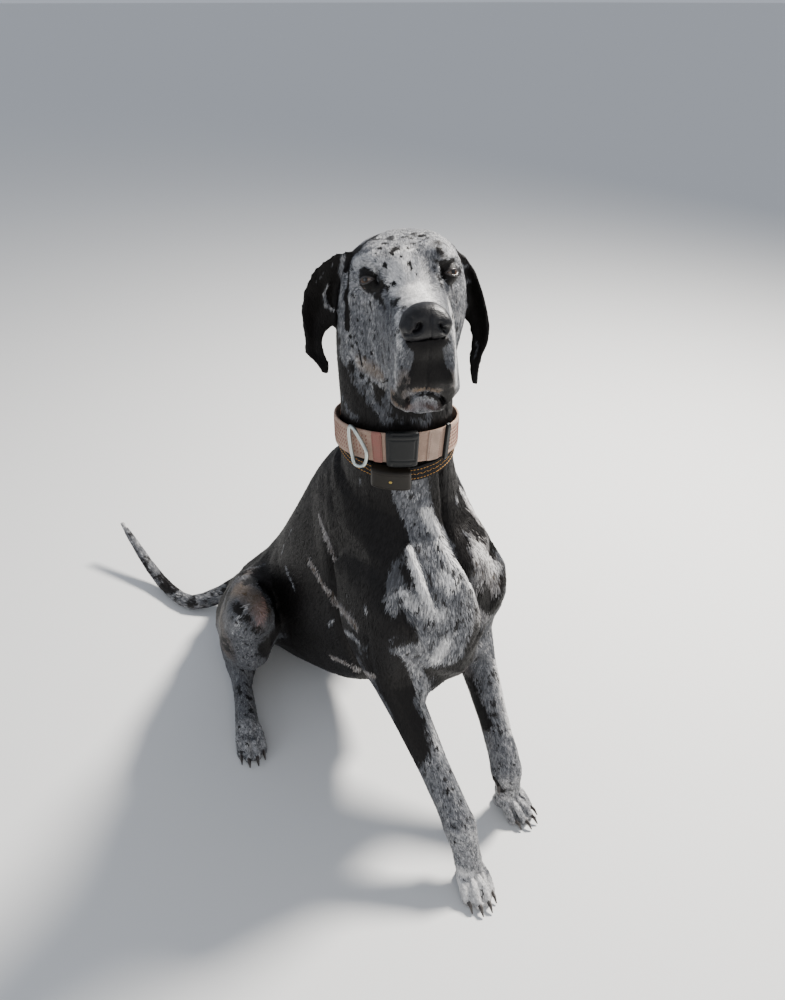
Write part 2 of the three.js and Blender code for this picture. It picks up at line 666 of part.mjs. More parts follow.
for (const side of [RIGHT, LEFT]) {
  const tag = side === RIGHT ? "right" : "left";
  const cuts = legPlanes(side);
  const { elbow, wrist, paw: forePlace } = foreleg[side];

  // Shoulder and upper arm
  const shoulderSpine = [
    [side * 84, -440, 640],
    [side * 96, -478, 520],
    [side * 100, -494, 430],
    [elbow[0], elbow[1], elbow[2] - 28],
  ];
  const shoulderField = within(cuts.armpit, cuts.shoulderBack);
  const shoulderFacets = { rings: 8, segments: 14, up: [0, -1, 0], domes: [1, 1], reach: 190 };
  const shoulderWrap = solid(wrap(shoulderField, shoulderSpine, shoulderFacets));
  nodes.set(
    `upper_arm_${tag}`,
    keep(shoulderWrap, shoulderRegion(side, HALF_GAP), before(cuts.elbow), after(planes.neckBase)),
  );

  // Forearm
  const armSpine = [
    [elbow[0], elbow[1] + 8, elbow[2] + 20],
    [mix(elbow[0], wrist[0], 0.5), mix(elbow[1], wrist[1], 0.5), mix(elbow[2], wrist[2], 0.5)],
    [wrist[0], wrist[1] - 8, wrist[2] - 20],
  ];
  const armWrap = solid(wrap(flesh, armSpine, { rings: 7, segments: 11, up: [0, -1, 0], reach: 110 }));
  const forearm = keep(armWrap, after(cuts.armpit), after(cuts.elbow), before(cuts.wrist));
  nodes.set(`forearm_${tag}`, forearm);

  // Wrist, pastern and forepaw
  const pasternSpine = [
    [wrist[0], wrist[1] + 8, wrist[2] + 20],
    [mix(wrist[0], forePlace[0], 0.5), mix(wrist[1], forePlace[1], 0.55), 78],
    [forePlace[0], forePlace[1] - 2, 32],
  ];
  const pasternFacets = { rings: 5, segments: 10, up: [0, -1, 0], domes: [0, 1], reach: 50 };
  const pastern = (level) => solid(wrap(flesh, pasternSpine, { ...pasternFacets, level }));
  paw(side, `forepaw_${tag}`, foreleg[side], pastern(0), [24, 20, 13], -12, after(cuts.wrist));

  // Dewclaw, on the inner side above the paw
  const [dx, dy, dz] = dewToe(side);
  const dewStops = [
    [dx, dy - 4, dz - 4, 4, 5],
    [dx - side * 2, dy - 9, dz - 15, 3.6, 4.2],
    [dx - side * 1, dy - 11, dz - 25, 1.2, 1.5],
  ];
  const dewClaw = tube(dewStops, { segments: 4, up: [0, -1, 0] });
  nodes.set(`fore_${tag}_claw_dew`, largest(dewClaw.subtract(pastern(0.5))));

  // Thigh
  const { knee, hock, paw: hindPlace } = hindleg[side];
  const thighSpine = [
    [side * 100, 70, 125],
    [side * 112, -20, 168],
    [side * 132, -130, 218],
    [knee[0] - side * 6, knee[1] + 26, knee[2] - 14],
  ];
  const thighField = within(cuts.flank, cuts.overKnee);
  const thighFacets = { rings: 7, segments: 14, domes: [1, 2], reach: 170 };
  const thighWrap = solid(wrap(thighField, thighSpine, thighFacets));
  nodes.set(
    `thigh_${tag}`,
    keep(thighWrap, thighRegion(side, HALF_GAP), FLOOR).subtract(shinRegion(side, -HALF_GAP)),
  );

  // Shin, from the knee down to the hock
  const shinSpine = [
    [knee[0], knee[1] + 6, knee[2] - 8],
    [mix(knee[0], hock[0], 0.5), mix(knee[1], hock[1], 0.5), mix(knee[2], hock[2], 0.5)],
    [hock[0], hock[1] + 4, hock[2] - 6],
  ];
  const shinWrap = solid(
    wrap(flesh, shinSpine, { rings: 6, segments: 12, domes: [1, 1], reach: 90 }),
  );
  nodes.set(`shin_${tag}`, keep(shinWrap, shinRegion(side, HALF_GAP), before(cuts.hock), FLOOR));

  // Hind foot, from the hock to the toes
  const footSpine = [
    [hock[0], hock[1] + 16, 28],
    [mix(hock[0], hindPlace[0], 0.5), mix(hock[1], hindPlace[1], 0.5), 36],
    [hindPlace[0], hindPlace[1] + 4, 34],
  ];
  const footWrap = solid(wrap(flesh, footSpine, { rings: 6, segments: 10, domes: [1, 1], reach: 60 }));
  const foot = keep(footWrap, shinRegion(side, HALF_GAP), after(cuts.hock), FLOOR);
  nodes.set(`hind_foot_${tag}`, keep(foot, before(cuts.toes)));
  paw(side, `hind_paw_${tag}`, hindleg[side], footWrap, [23, 19, 13], -10, after(cuts.toes));
}

// Head
const headSpine = [[0, 118, -34], [0, 40, -34], [0, -40, -44], [0, -126, -44]].map(inHead);
const headWrap = (level) =>
  solid(wrap(flesh, headSpine, { rings: 13, segments: 18, up: HEAD_UP, domes: [0, 2], level, reach: 150 }));
const wholeHead = headWrap(0);
const headBox = (centre, size) => {
  const box = new THREE.BoxGeometry(...size);
  box.translate(...centre);
  box.applyMatrix4(headFrame);
  return solid(box);
};
const jawBox = (grow) => headBox([0, -70, -152], [46 + grow, 260 + grow, 100 + grow]);

// Nose: a broad blunt block with two nostrils, let into the front of the muzzle
const noseMasses = [
  headMuscle([0, -152, -16], [NOSE_WIDTH / 2 - 4, 17, 20], { soft: 12 }),
  ...bothSides((s) => headMuscle([s * 17, -154, -19], [13, 17, 16], { soft: 10 })),
  headMuscle([0, -144, -4], [20, 18, 9], { soft: 10 }),
];
const noseField = fieldOf(noseMasses);
const noseWrap = (level) =>
  solid(
    wrap(noseField, [inHead([0, -142, -16]), inHead([0, -160, -16])], {
      rings: 3,
      segments: 12,
      up: HEAD_UP,
      domes: [1, 2],
      level,
      reach: 60,
    }),
  );
const nostril = (s) =>
  tube(
    [
      [...inHead([s * 8, -165, -17]), 3.4, 4.6],
      [...inHead([s * 13, -170, -18]), 4.4, 5.4],
      [...inHead([s * 20, -169, -22]), 3, 4],
      [...inHead([s * 26, -164, -27]), 1.6, 2.2],
    ],
    { segments: 6, up: HEAD_UP },
  );
nodes.set("nose", noseWrap(0).subtract(nostril(RIGHT)).subtract(nostril(LEFT)));

const eyePlace = (s) => inHead([(s * EYE_SPREAD) / 2, -2, 0]);
const eyeball = (s, grow) => {
  const ball = new THREE.SphereGeometry(EYE_RADIUS + grow, 10, 6);
  ball.translate(...eyePlace(s));
  return solid(ball);
};
const upperHead = keep(wholeHead, before(planes.headBack)).subtract(jawBox(GAP));
const socketed = upperHead.subtract(eyeball(RIGHT, GAP)).subtract(eyeball(LEFT, GAP));
nodes.set("skull", keep(socketed, before(planes.stop)));
nodes.set("muzzle", keep(socketed, after(planes.stop)).subtract(noseWrap(GAP)));
nodes.set("jaw", keep(wholeHead, before(planes.headBack), jawBox(-GAP)));
nodes.set("eye_right", eyeball(RIGHT, 0));
nodes.set("eye_left", eyeball(LEFT, 0));

// Ears: leaves that leave the side of the skull, flare out and hang down in front view. Each stop is
// a place on the front edge, the place across from it on the rear edge, the thickness and the bow.
const earStops = {
  [RIGHT]: [
    [-46, 44, 26, -50, 84, -18, 9, 3],
    [-72, 48, 34, -66, 84, -32, 8, 8],
    [-101, 54, 28, -78, 84, -50, 6.5, 12],
    [-128, 56, 6, -88, 80, -62, 6, 13],
    [-143, 54, -22, -99, 76, -71, 6, 12],
    [-148, 50, -50, -113, 70, -76, 6, 9],
    [-144, 46, -73, -120, 62, -81, 6, 5],
    [-151, 42, -90, -122, 56, -96, 5.5, 5],
    [-135, 38, -110, -116, 50, -114, 5, 3],
    [-128, 36, -126, -119, 44, -129, 4, 1],
  ],
  [LEFT]: [
    [46, 44, 22, 50, 84, -20, 9, 3],
    [66, 50, 22, 64, 92, -36, 8, 8],
    [84, 56, 6, 72, 94, -56, 6.5, 12],
    [97, 58, -20, 77, 92, -74, 6, 13],
    [105, 56, -52, 82, 88, -92, 6, 12],
    [110, 52, -82, 87, 80, -104, 6, 9],
    [110, 48, -104, 86, 70, -118, 6, 6],
    [100, 44, -124, 80, 60, -132, 5.5, 4],
    [92, 42, -148, 79, 52, -152, 5, 3],
    [90, 42, -172, 82, 48, -173, 4, 1],
  ],
};
function ear(s) {
  const stops = earStops[s];
  const front = new THREE.CatmullRomCurve3(stops.map((e) => point(e.slice(0, 3))));
  const rear = new THREE.CatmullRomCurve3(stops.map((e) => point(e.slice(3, 6))));
  const sizes = new THREE.CatmullRomCurve3(stops.map((e) => point([e[6], e[7], 0])));
  const count = 11;
  const loops = [];
  for (let i = 0; i < count; i++) {
    const t = i / (count - 1);
    const a = front.getPoint(t);
    const b = rear.getPoint(t);
    const along = front.getTangent(t).add(rear.getTangent(t)).normalize();
    const back = b.clone().sub(a).cross(along).normalize().multiplyScalar(-s);
    const { x: thick, y: bow } = sizes.getPoint(t);
    const loop = [];
    const outline = [[0, 0], [0.16, 1], [0.5, 1], [0.84, 1], [1, 0], [0.84, -1], [0.5, -1], [0.16, -1]];
    for (const [u, face] of outline) {
      const lift = 4 * bow * u * (1 - u) + (face * thick) / 2;
      loop.push(a.clone().lerp(b, u).addScaledVector(back, lift).applyMatrix4(headFrame));
    }
    loops.push(loop);
  }
  return solid(closeLoops(loops, centreOf(loops[0]), centreOf(loops.at(-1))));
}
const aroundHead = headWrap(0.5);
nodes.set("ear_right", ear(RIGHT).subtract(aroundHead));
nodes.set("ear_left", ear(LEFT).subtract(aroundHead));

// Collars: flat bands round the neck. A place on a collar is an angle from straight ahead towards the
// dog's right, a height on the band, and how far it stands out from the neck.
function collarFrame(centre, tilt, clearance) {
  const axis = point(tilt).normalize();
  const ahead = new THREE.Vector3(0, -1, 0).addScaledVector(axis, axis.y).normalize();
  const toRight = axis.clone().cross(ahead).multiplyScalar(-1);
  const direction = (degrees) => {
    const angle = THREE.MathUtils.degToRad(degrees);
    return ahead.clone().multiplyScalar(Math.cos(angle)).addScaledVector(toRight, Math.sin(angle));
  };
  const place = (degrees, height, out) => {
    const from = point(centre).addScaledVector(axis, height);
    return outTo(flesh, from, direction(degrees), clearance, 200).addScaledVector(direction(degrees), out);
  };
  return { place };
}
const upperCollar = collarFrame([-21, -447, 768], [0.07, 0.1, 1], COLLAR_CLEARANCE);
const lowerCollar = collarFrame([-20, -440, 752], [-0.14, -0.18, 1], STRAP_CLEARANCE);

function band({ place }, height, thickness, segments) {
  const sections = Array.from({ length: segments }, (_, i) => {
    const degrees = -(i / segments) * 360;
    return [
      place(degrees, -height / 2, 0),
      place(degrees, height / 2, 0),
      place(degrees, height / 2, thickness),
      place(degrees, -height / 2, thickness),
    ];
  });
  return solid(closeBand(sections));
}

// A block with chamfered edges that follows the curve of a collar, standing on the band
function bentBlock({ place }, { degrees, width, height, depth, columns, chamfer = 1.2, drop = 0 }) {
  const loops = [];
  const addSection = (across, inset) => {
    const angle = degrees + THREE.MathUtils.radToDeg(across / NECK_RADIUS);
    const h = height / 2 - inset;
    const low = COLLAR_THICKNESS + 0.7 + Math.min(inset, 1) * 0.3;
    const high = COLLAR_THICKNESS + 0.7 + depth - Math.min(inset, chamfer);
    const side = [[h - chamfer, high], [h, high - chamfer], [h, low]];
    const profile = [...side.map(([y, out]) => [-y, out]).reverse(), ...side];
    loops.push(profile.map(([y, out]) => place(angle, y + drop, out)));
  };
  addSection(-width / 2, chamfer * 1.5);
  for (let i = 0; i <= columns; i++) addSection((i / columns - 0.5) * (width - 2 * chamfer), 0);
  addSection(width / 2, chamfer * 1.5);
  return solid(closeLoops(loops, centreOf(loops[0]), centreOf(loops.at(-1))));
}

const upperFittings = {
  collar_buckle: { degrees: 33, width: 47, height: 58, depth: 9, columns: 5 },
  collar_loop: { degrees: 5.5, width: 23, height: 49, depth: 3, columns: 2 },
  collar_slide: { degrees: -8, width: 8, height: 58, depth: 6, columns: 1 },
  collar_patch: { degrees: 54, width: 16, height: 50, depth: 2.5, columns: 2, chamfer: 0.8 },
};
const receiver = { degrees: 41, width: 58, height: 37, depth: 17, columns: 5, chamfer: 2.5 };
nodes.set("collar_band", band(upperCollar, COLLAR_HEIGHT, COLLAR_THICKNESS, 26));
for (const [name, sizes] of Object.entries(upperFittings)) nodes.set(name, bentBlock(upperCollar, sizes));
nodes.set("lower_band", band(lowerCollar, LOWER_COLLAR_HEIGHT, COLLAR_THICKNESS - 0.4, 24));
nodes.set("receiver", bentBlock(lowerCollar, receiver));

// Metal ring: an upright D of round wire that lies against the band
const ringOutline = [[-11, 27], [-13, 0], [-10, -26], [0, -31], [10, -25], [14, -4], [2, 22], [-5, 30]];
const ringPlaces = ringOutline.map(([across, height]) => {
  const degrees = 71 - THREE.MathUtils.radToDeg(across / NECK_RADIUS);
  return upperCollar.place(degrees, height - 3, COLLAR_THICKNESS + WIRE + 1.6);
});
const ringCurve = new THREE.CatmullRomCurve3(ringPlaces, true);
nodes.set("collar_ring", solid(new THREE.TubeGeometry(ringCurve, 14, WIRE, 5, true)));

// Finish of each node, by the first pattern that its name fits
const finishes = [
  [/^eye_/, { color: 0x3b2a1c, roughness: 0.12 }],
  [/^nose$/, { color: 0x1b1a1d, roughness: 0.45 }],
  [/_claw_/, { color: 0x2b2724, roughness: 0.4 }],
  [/^collar_(buckle|slide)$/, { color: 0x1b1c1e, roughness: 0.45 }],
  [/^receiver$/, { color: 0x221c1a, roughness: 0.5 }],
  [/^collar_ring$/, { color: 0xc4cec6, roughness: 0.3, metalness: 0.9 }],
  [/^collar_patch$/, { color: 0xa5756b, roughness: 0.85 }],
  [/^collar_/, { color: 0xb5937c, roughness: 0.85 }],
  [/^lower_band$/, { color: 0x191818, roughness: 0.7 }],
  [/^(ear_|neck_lower|upper_arm_|tail_)/, { color: 0x34343a, roughness: 0.75 }],
  [/^(chest|loin|rump|thigh_|forearm_|shin_)/, { color: 0x66666b, roughness: 0.75 }],
  [/./, { color: 0xa9a9ac, roughness: 0.75 }],
];

const dog = new THREE.Group();
for (const [name, made] of nodes) {
  const [, finish] = finishes.find(([pattern]) => pattern.test(name));
  const mesh = new THREE.Mesh(geometryOf(largest(made)), new THREE.MeshStandardMaterial(finish));
  mesh.name = name;
  dog.add(mesh);
}

// The frame's origin is on the floor, under the middle of the dog's box.
const middle = new THREE.Box3().setFromObject(dog).getCenter(new THREE.Vector3());
dog.position.set(-middle.x, -middle.y, 0);

export default dog;
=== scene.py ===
import math
import bpy
import bmesh
import numpy as np
from mathutils import Matrix, Vector
from mathutils.bvhtree import BVHTree
from mathutils.kdtree import KDTree


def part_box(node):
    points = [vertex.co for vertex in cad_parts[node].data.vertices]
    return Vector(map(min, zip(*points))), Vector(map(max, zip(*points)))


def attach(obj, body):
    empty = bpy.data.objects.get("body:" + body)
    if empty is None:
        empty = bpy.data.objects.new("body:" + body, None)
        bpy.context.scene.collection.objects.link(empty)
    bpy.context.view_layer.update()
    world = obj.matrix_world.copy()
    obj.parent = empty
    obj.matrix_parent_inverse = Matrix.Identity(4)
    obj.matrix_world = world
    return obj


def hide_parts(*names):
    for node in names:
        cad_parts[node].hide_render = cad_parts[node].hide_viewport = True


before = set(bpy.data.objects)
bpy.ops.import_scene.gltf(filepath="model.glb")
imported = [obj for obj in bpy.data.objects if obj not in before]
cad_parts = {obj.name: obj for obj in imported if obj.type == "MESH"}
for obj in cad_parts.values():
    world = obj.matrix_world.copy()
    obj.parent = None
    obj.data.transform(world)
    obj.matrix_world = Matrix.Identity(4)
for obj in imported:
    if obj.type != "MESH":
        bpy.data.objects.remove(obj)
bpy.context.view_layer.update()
mm = 0.001
sides = {"right": -1, "left": 1}

# The photo's camera: 785 px focal length, 1.32 m up, looking 32.5 degrees down
view = {"place": (-0.6799, -1.1735, 1.32), "turn": 37.6, "down": 32.5, "focal": 785, "width": 785, "height": 1000}

# The head's own axes: x to its left, y backwards, z up, from between the eyes
head = {"turn": -32.5, "lift": -4, "tilt": -5, "eyeBack": 2}


def middleOf(node):
    low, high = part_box(node)
    return (low + high) / 2


headTurn = (
    Matrix.Rotation(math.radians(head["turn"]), 3, "Z")
    @ Matrix.Rotation(math.radians(head["lift"]), 3, "X")
    @ Matrix.Rotation(math.radians(head["tilt"]), 3, "Y")
)
headAxes = np.array(headTurn)
headOrigin = np.array((middleOf("eye_right") + middleOf("eye_left")) / 2) / mm + headAxes @ (0, head["eyeBack"], 0)


def inHead(p):
    return headOrigin + headAxes @ np.asarray(p, float)


def toHead(points):
    return (points - headOrigin) @ headAxes


# Camera
def makeCamera():
    data = bpy.data.cameras.new("photoView")
    data.sensor_fit = "HORIZONTAL"
    data.sensor_width = 36
    data.lens = 36 * view["focal"] / view["width"]
    data.clip_start = 0.05
    camera = bpy.data.objects.new("photoView", data)
    bpy.context.collection.objects.link(camera)
    camera.location = view["place"]
    camera.rotation_euler = (math.radians(90 - view["down"]), 0, math.radians(-view["turn"]))
    bpy.context.scene.camera = camera
    bpy.context.view_layer.update()
    return camera


camera = makeCamera()
cameraAxes = camera.matrix_world.to_3x3()


def throughPixel(u, v):
    # the direction from the camera through a pixel of the photo
    ray = Vector(((u - view["width"] / 2) / view["focal"], -(v - view["height"] / 2) / view["focal"], -1))
    return (cameraAxes @ ray).normalized()


# Floor and soft studio light
def makeStage():
    bpy.ops.mesh.primitive_plane_add(size=900)
    floor = bpy.context.object
    floor.name = "floor"
    paper = bpy.data.materials.new("pale paper floor")
    paper.use_nodes = True
    shader = paper.node_tree.nodes["Principled BSDF"]
    shader.inputs["Base Color"].default_value = (0.74, 0.74, 0.73, 1)
    shader.inputs["Roughness"].default_value = 0.9
    floor.data.materials.append(paper)
    world = bpy.data.worlds.new("studio")
    bpy.context.scene.world = world
    world.use_nodes = True
    world.node_tree.nodes["Background"].inputs["Color"].default_value = (0.82, 0.88, 1.0, 1)
    world.node_tree.nodes["Background"].inputs["Strength"].default_value = 0.55
    lamps = {
        # name: (place, size, power, colour)
        "key": ((2.1, -0.3, 2.9), 0.7, 360, (1.0, 0.96, 0.9)),
        "front": ((-1.2, -2.8, 2.2), 2.2, 20, (1.0, 0.98, 0.95)),
        "right side": ((-3.2, 0.2, 1.6), 2.0, 13, (0.86, 0.92, 1.0)),
    }
    aim = Vector((0, -0.25, 0.6))
    for name, (place, size, power, colour) in lamps.items():
        light = bpy.data.lights.new(name, "AREA")
        light.shape = "DISK"
        light.size = size
        light.energy = power
        light.color = colour
        lamp = bpy.data.objects.new(name, light)
        bpy.context.collection.objects.link(lamp)
        lamp.location = place
        lamp.rotation_euler = (aim - Vector(place)).to_track_quat("-Z", "Y").to_euler()


makeStage()
print("stage and camera set")

# Which nodes are flesh, and which way their coat lies
lie = {
    "skull": headAxes @ (0, 1, 0.1), "muzzle": headAxes @ (0, 1, -0.35), "jaw": headAxes @ (0, 1, -0.2),
    "ear_right": (0, 0.1, -1), "ear_left": (0, 0.1, -1),
    "neck_upper": (0, 0.1, -1), "neck_lower": (0, 0.15, -1),
    "chest": (0, 0.45, -1), "loin": (0, 0.8, -0.7), "rump": (0, 0.8, -0.7),
    "tail_root": (-0.5, 0.8, -0.3), "tail_middle": (-0.2, 1, 0), "tail_tip": (-0.1, 0.9, 0.5),
}
for side, sign in sides.items():
    lie |= {
        f"upper_arm_{side}": (0, 0, -1), f"forearm_{side}": (0, -0.4, -1), f"forepaw_{side}": (0, -0.6, -0.8),
        f"thigh_{side}": (0, 0.5, -0.8), f"shin_{side}": (0, 0.5, -0.8),
        f"hind_foot_{side}": (sign * 0.3, -1, -0.2), f"hind_paw_{side}": (sign * 0.3, -1, -0.2),
    }
flesh = list(lie)


# Eyes: middle, gaze and the almond opening, in mm
eye = {
    "radius": 12.4, "iris": 8.2, "pupil": 3.1, "bulge": 0.9, "gaze": (0.45, -0.80, 0.36),
    "shift": {"right": (-2, 0, 3), "left": (0.5, 0, 0)},
    "halfWide": 10.0, "upper": 3.0, "lower": 5.1, "lid": 1.7, "rim": 1.0, "slant": 0.12,
}
eyes = {}
for side, sign in sides.items():
    gaze = headAxes @ (sign * eye["gaze"][0], eye["gaze"][1], eye["gaze"][2])
    gaze = gaze / np.linalg.norm(gaze)
    across = np.cross(headAxes @ (0, 0, 1), gaze)
    across = across / np.linalg.norm(across) * sign      # towards the outer corner
    up = np.cross(gaze, across) * sign
    up = up * np.sign(up[2])
    middle = np.array(middleOf(f"eye_{side}")) / mm + headAxes @ eye["shift"][side]
    eyes[side] = {"middle": middle, "axes": np.array([across, up, gaze])}


# Skin: the flesh nodes grown shut, remeshed as one, smoothed and then worked like clay
skinSizes = {"grow": 0.55, "voxel": 2.8, "coat": 1.0, "triangles": 182000}
nape = {"at": (8, -322, 985), "radii": (52, 70, 60)}      # fills the notch between skull and neck, in mm


def joinFlesh():
    joined = bmesh.new()
    for name in flesh:
        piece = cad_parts[name].data.copy()
        joined.from_mesh(piece)
        bpy.data.meshes.remove(piece)
    bmesh.ops.remove_doubles(joined, verts=joined.verts, dist=1e-6)
    joined.normal_update()
    for v in joined.verts:
        v.co += v.normal * skinSizes["grow"] * mm
    for e in eyes.values():     # the lids are pressed out of a ball that fills each socket
        place = Matrix.Translation(Vector(e["middle"] * mm))
        size = (eye["radius"] + eye["lid"]) * mm
        bmesh.ops.create_icosphere(joined, subdivisions=3, radius=size, matrix=place)
    place = Matrix.Translation(Vector(nape["at"]) * mm) @ Matrix.Diagonal((*nape["radii"], 1))
    bmesh.ops.create_icosphere(joined, subdivisions=4, radius=mm, matrix=place)
    mesh = bpy.data.meshes.new("skin")
    joined.to_mesh(mesh)
    joined.free()
    skin = bpy.data.objects.new("skin", mesh)
    bpy.context.collection.objects.link(skin)
    return skin


def bake(piece):
    # the piece with its modifiers turned into a plain mesh
    graph = bpy.context.evaluated_depsgraph_get()
    graph.update()
    mesh = bpy.data.meshes.new_from_object(piece.evaluated_get(graph))
    old = piece.data
    piece.modifiers.clear()
    piece.data = mesh
    bpy.data.meshes.remove(old)
    return piece


def remeshed(piece, voxel):
    remesh = piece.modifiers.new("one surface", "REMESH")
    remesh.mode = "VOXEL"
    remesh.voxel_size = voxel * mm
    return bake(piece)


skin = remeshed(joinFlesh(), skinSizes["voxel"])
print("skin remeshed", len(skin.data.vertices), "points")


def pointsOf(mesh):
    flat = np.empty(len(mesh.vertices) * 3, np.float32)
    mesh.vertices.foreach_get("co", flat)
    return flat.reshape(-1, 3).astype(float) / mm


def edgesOf(mesh):
    flat = np.empty(len(mesh.edges) * 2, np.int32)
    mesh.edges.foreach_get("vertices", flat)
    return flat.reshape(-1, 2)


def normalsOf(mesh):
    flat = np.empty(len(mesh.vertices) * 3, np.float32)
    mesh.vertex_normals.foreach_get("vector", flat)
    return flat.reshape(-1, 3).astype(float)


def store(mesh, points):
    mesh.vertices.foreach_set("co", (points * mm).astype(np.float32).ravel())
    mesh.update()


def unit(vectors):
    return vectors / np.maximum(np.linalg.norm(vectors, axis=-1, keepdims=True), 1e-9)


def averageAround(values, edges, count):
    total = np.zeros_like(values)
    columns = values.reshape(len(values), -1)
    for c in range(columns.shape[1]):
        here = np.bincount(edges[:, 0], columns[edges[:, 1], c], len(values))
        total.reshape(len(values), -1)[:, c] = here + np.bincount(edges[:, 1], columns[edges[:, 0], c], len(values))
    return total / (count if values.ndim == 1 else count[:, None])


def smooth(points, edges, count, weight, steps, back=0.53):
    # rounds the facets off and keeps the volume
    for _ in range(steps):
        points = points + 0.5 * weight[:, None] * (averageAround(points, edges, count) - points)
        if back:
            points = points - back * weight[:, None] * (averageAround(points, edges, count) - points)
    return points


def nearestNode(points):
    tree = KDTree(sum(len(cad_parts[n].data.vertices) for n in flesh))
    owner = []
    for i, name in enumerate(flesh):
        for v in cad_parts[name].data.vertices:
            tree.insert(v.co, len(owner))
            owner.append(i)
    tree.balance()
    return np.array([owner[tree.find(p)[1]] for p in points * mm])


class Surface:
    # a mesh as arrays, in mm, with each point's node
    def __init__(self, mesh):
        self.mesh = mesh
        self.points = pointsOf(mesh)
        self.edges = edgesOf(mesh)
        self.count = np.maximum(np.bincount(self.edges.ravel(), minlength=len(self.points)), 1).astype(float)
        self.owner = nearestNode(self.points)

    def shareOf(self, *names, spread=12):
        # 1 on these nodes and 0 elsewhere, with a soft border
        share = np.isin(self.owner, [flesh.index(n) for n in names]).astype(float)
        for _ in range(spread):
            share = averageAround(share, self.edges, self.count)
        return share

    def smooth(self, weight, steps, back=0.53):
        self.points = smooth(self.points, self.edges, self.count, np.clip(weight, 0, 1), steps, back)

    def save(self):
        store(self.mesh, self.points)
        self.normals = normalsOf(self.mesh)


clay = Surface(skin.data)
headShare = clay.shareOf("skull", "muzzle", "jaw")
earShare = clay.shareOf("ear_right", "ear_left", spread=3)
pawShare = clay.shareOf(*[n for n in flesh if "paw" in n], spread=5)
legShare = clay.shareOf(*[n for n in flesh if n.startswith(("forearm", "shin", "hind_foot", "tail"))], spread=8)
clay.smooth(1 - headShare - earShare - pawShare - legShare, 90, back=0)
clay.smooth(legShare, 26, back=0)
clay.smooth(headShare, 22, back=0.4)
clay.smooth(clay.shareOf("skull", spread=8), 16, back=0)
clay.smooth(pawShare, 6)
clay.smooth(earShare, 40, back=0.5)
soft = {
    # where one mass runs into the next: place and reach in mm, steps
    "nape": ((18, -258, 1012), 50, 90), "nape low": ((4, -244, 955), 50, 50),
    "flank left": ((104, 60, 305), 60, 34), "flank right": ((-100, 60, 300), 50, 14), "rump": ((0, 262, 130), 80, 40),
}
for place, reach, steps in soft.values():
    far = np.linalg.norm(clay.points - place, axis=1)
    clay.smooth(np.exp(-((far / reach) ** 2)), steps, back=0)
clay.save()
print("skin smoothed")


# Finer mesh on the face
def refine(mesh, balls):
    work = bmesh.new()
    work.from_mesh(mesh)
    for middle, radius in balls:
        centre = Vector(middle * mm)
        reach = (radius * mm) ** 2
        inside = {v for v in work.verts if (v.co - centre).length_squared < reach}
        cut = [e for e in work.edges if e.verts[0] in inside and e.verts[1] in inside]
        bmesh.ops.subdivide_edges(work, edges=cut, cuts=1, use_grid_fill=True)
    bmesh.ops.triangulate(work, faces=[f for f in work.faces if len(f.verts) > 4])
    work.to_mesh(mesh)
    work.free()


toeBalls = []
for limb in ("fore", "hind"):
    for side in sides:
        ends = [np.array(middleOf(f"{limb}_{side}_claw_{toe}")) / mm for toe in ("outer", "third", "second", "inner")]
        toeBalls.append((sum(ends) / 4 + (0, 18, 12), 44))
refine(skin.data, [(inHead((0, -140, -105)), 56)] + [(e["middle"], 34) for e in eyes.values()] + toeBalls)
refine(skin.data, [(e["middle"], 22) for e in eyes.values()])
clay = Surface(skin.data)
clay.save()
tree = BVHTree.FromObject(skin, bpy.context.evaluated_depsgraph_get())
print("skin refined to", len(clay.points), "points")


# Strokes are traced over pixels of the photo onto the body, or snapped to it from places in mm
def onSkin(u, v):
    hit = tree.ray_cast(camera.location, throughPixel(u, v))[0]
    return None if hit is None else np.array(hit) / mm


def traced(pixels, step=6):
    line = []
    for (u0, v0), (u1, v1) in zip(pixels[:-1], pixels[1:]):
        steps = max(1, round(math.hypot(u1 - u0, v1 - v0) / step))
        line += [onSkin(u0 + (u1 - u0) * i / steps, v0 + (v1 - v0) * i / steps) for i in range(steps)]
    line.append(onSkin(*pixels[-1]))
    return np.array([p for p in line if p is not None])


def between(places, step):
    line = []
    places = [np.asarray(p, float) for p in places]
    for a, b in zip(places[:-1], places[1:]):
        steps = max(1, round(np.linalg.norm(b - a) / step))
        line += [a + (b - a) * i / steps for i in range(steps)]
    return line + [places[-1]]


def snapped(places):
    return np.array([np.array(tree.find_nearest(Vector(p * mm))[0]) / mm for p in between(places, 12)])


def dropped(places):
    # let fall onto the top of the body
    starts = [Vector((p + (0, 0, 38)) * mm) for p in between(places, 6)]
    hits = [tree.ray_cast(p, Vector((0, 0, -1)))[0] for p in starts]
    return np.array([np.array(h) / mm for h in hits if h is not None])


def lineOf(stroke):
    if "trace" in stroke:
        pixels = stroke["trace"]
        return traced(pixels) if len(pixels) > 1 else traced(pixels * 2, 50)[:1]
    if "head" in stroke:
        return snapped([inHead(p) for p in stroke["head"]])
    return dropped(stroke["over"]) if "over" in stroke else snapped(stroke["at"])


def farFrom(line, points, reach):
    # distance to the stroke, for the points within its reach
    near = np.flatnonzero(np.all((points > line.min(0) - reach) & (points < line.max(0) + reach), axis=1))
    best = np.full(len(near), 1e9)
    spot = points[near]
    for a, b in zip(line, line[1:] if len(line) > 1 else line):
        run = b - a
        t = np.clip(((spot - a) @ run) / max(run @ run, 1e-9), 0, 1)
        best = np.minimum(best, np.linalg.norm(spot - a - t[:, None] * run, axis=1))
    return near, best


